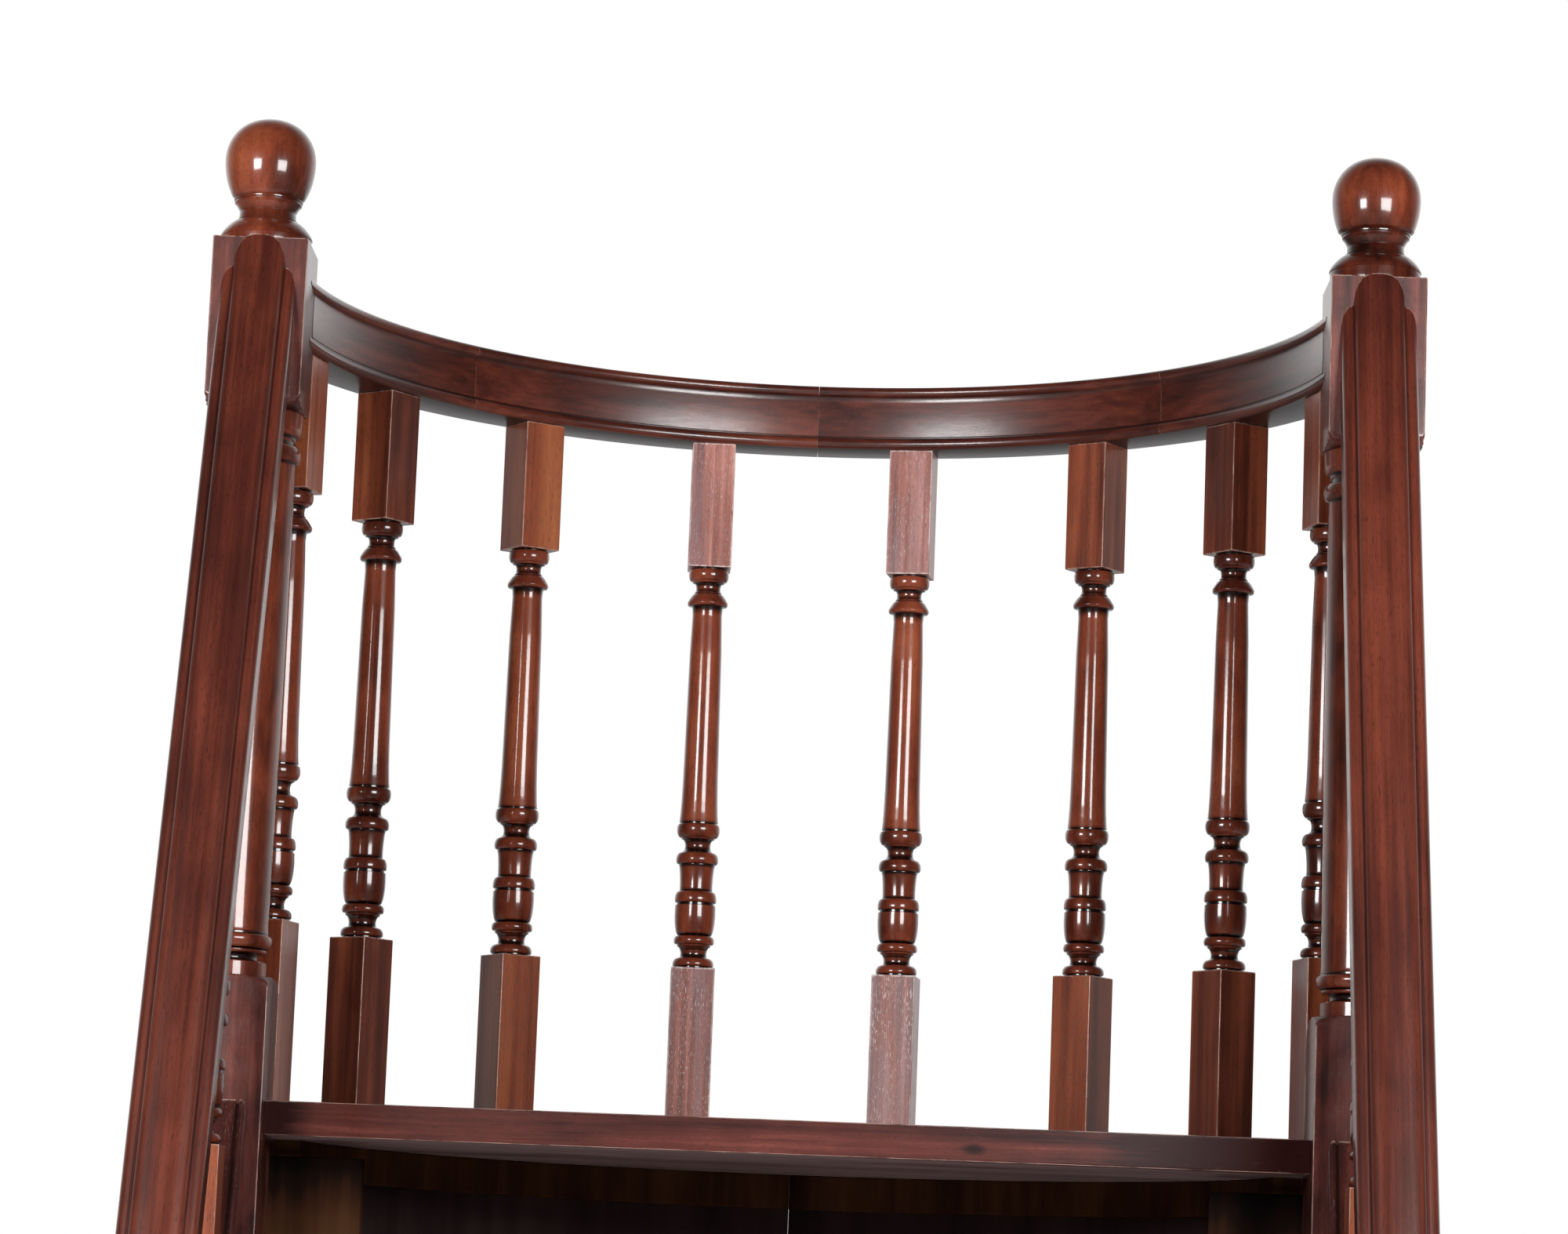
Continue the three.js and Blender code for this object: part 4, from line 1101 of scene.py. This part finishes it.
def make_world():
    """White to the eye. The pieces see it dark in front, bright behind and dimmer below."""
    world = bpy.data.worlds.new("studio")
    scene.world = world
    world.use_nodes = True
    t = Tree(world.node_tree)
    path = t.add("ShaderNodeLightPath").outputs
    direction = t.add("ShaderNodeTexCoord").outputs["Generated"]
    parts = t.add("ShaderNodeSeparateXYZ", Vector=direction).outputs
    backward, rise = (t.maths("MULTIPLY_ADD", parts[axis], 0.5, 0.5) for axis in ("Y", "Z"))
    behind = t.ramp(backward, [(0.5, 0.02), (0.62, 0.1), (0.76, 0.42), (0.85, 0.9), (0.9, 1.0)])
    behind = t.mix(1.0, behind, t.ramp(rise, [(0.42, 0.4), (0.52, 1.0)]), "MULTIPLY")
    seen = t.maths("MAXIMUM", path["Is Camera Ray"], path["Is Transmission Ray"])
    colour = t.mix(seen, behind, (1, 1, 1))
    background = t.add("ShaderNodeBackground", Color=colour, Strength=1.0)
    t.add("ShaderNodeOutputWorld", Surface=background.outputs[0])


def make_floor_material():
    """A pale floor, white far off, that lights the undersides as a bright studio does."""
    material, t = new_material("pale floor")
    place = t.add("ShaderNodeTexCoord").outputs["Object"]
    far = t.ramp(t.maths("DIVIDE", t.length(place), FLOOR_REACH), [(0.3, 0.0), (0.8, 1.0)])
    path = t.add("ShaderNodeLightPath").outputs
    fade = t.maths("MULTIPLY", far, path["Is Camera Ray"])
    fade = t.maths("MAXIMUM", fade, t.maths("MULTIPLY", path["Is Diffuse Ray"], 0.9))
    speckle = t.add("ShaderNodeTexNoise", Vector=place, Scale=40.0, Detail=4.0).outputs[0]
    pale = t.ramp(speckle, [(0.0, (0.78, 0.77, 0.76)), (1.0, (0.84, 0.83, 0.82))])
    matt = t.add("ShaderNodeBsdfDiffuse", Color=pale)
    glow = t.add("ShaderNodeEmission", Color=(1, 1, 1, 1), Strength=1.0)
    both = t.add("ShaderNodeMixShader", Fac=fade)
    t.set(both, "1", matt.outputs[0])
    t.set(both, "2", glow.outputs[0])
    t.add("ShaderNodeOutputMaterial", Surface=both.outputs[0])
    return material


def make_floor():
    angles = [k * math.tau / FLOOR_SIDES for k in range(FLOOR_SIDES)]
    ring = [(FLOOR_REACH * math.cos(a), FLOOR_REACH * math.sin(a), 0) for a in angles]
    mesh = bpy.data.meshes.new("floor")
    mesh.from_pydata(ring, [], [list(range(FLOOR_SIDES))])
    mesh.materials.append(make_floor_material())
    floor = bpy.data.objects.new("floor", mesh)
    scene.collection.objects.link(floor)


make_camera()
paint = make_materials()
make_gallery(paint)
make_platform(paint)
make_curved_back(paint)
for word, side in (("left", -1), ("right", 1)):
    make_side(word, side, paint)
make_treads(paint)
make_lamps()
make_world()
make_floor()
scene.view_settings.view_transform = "Standard"
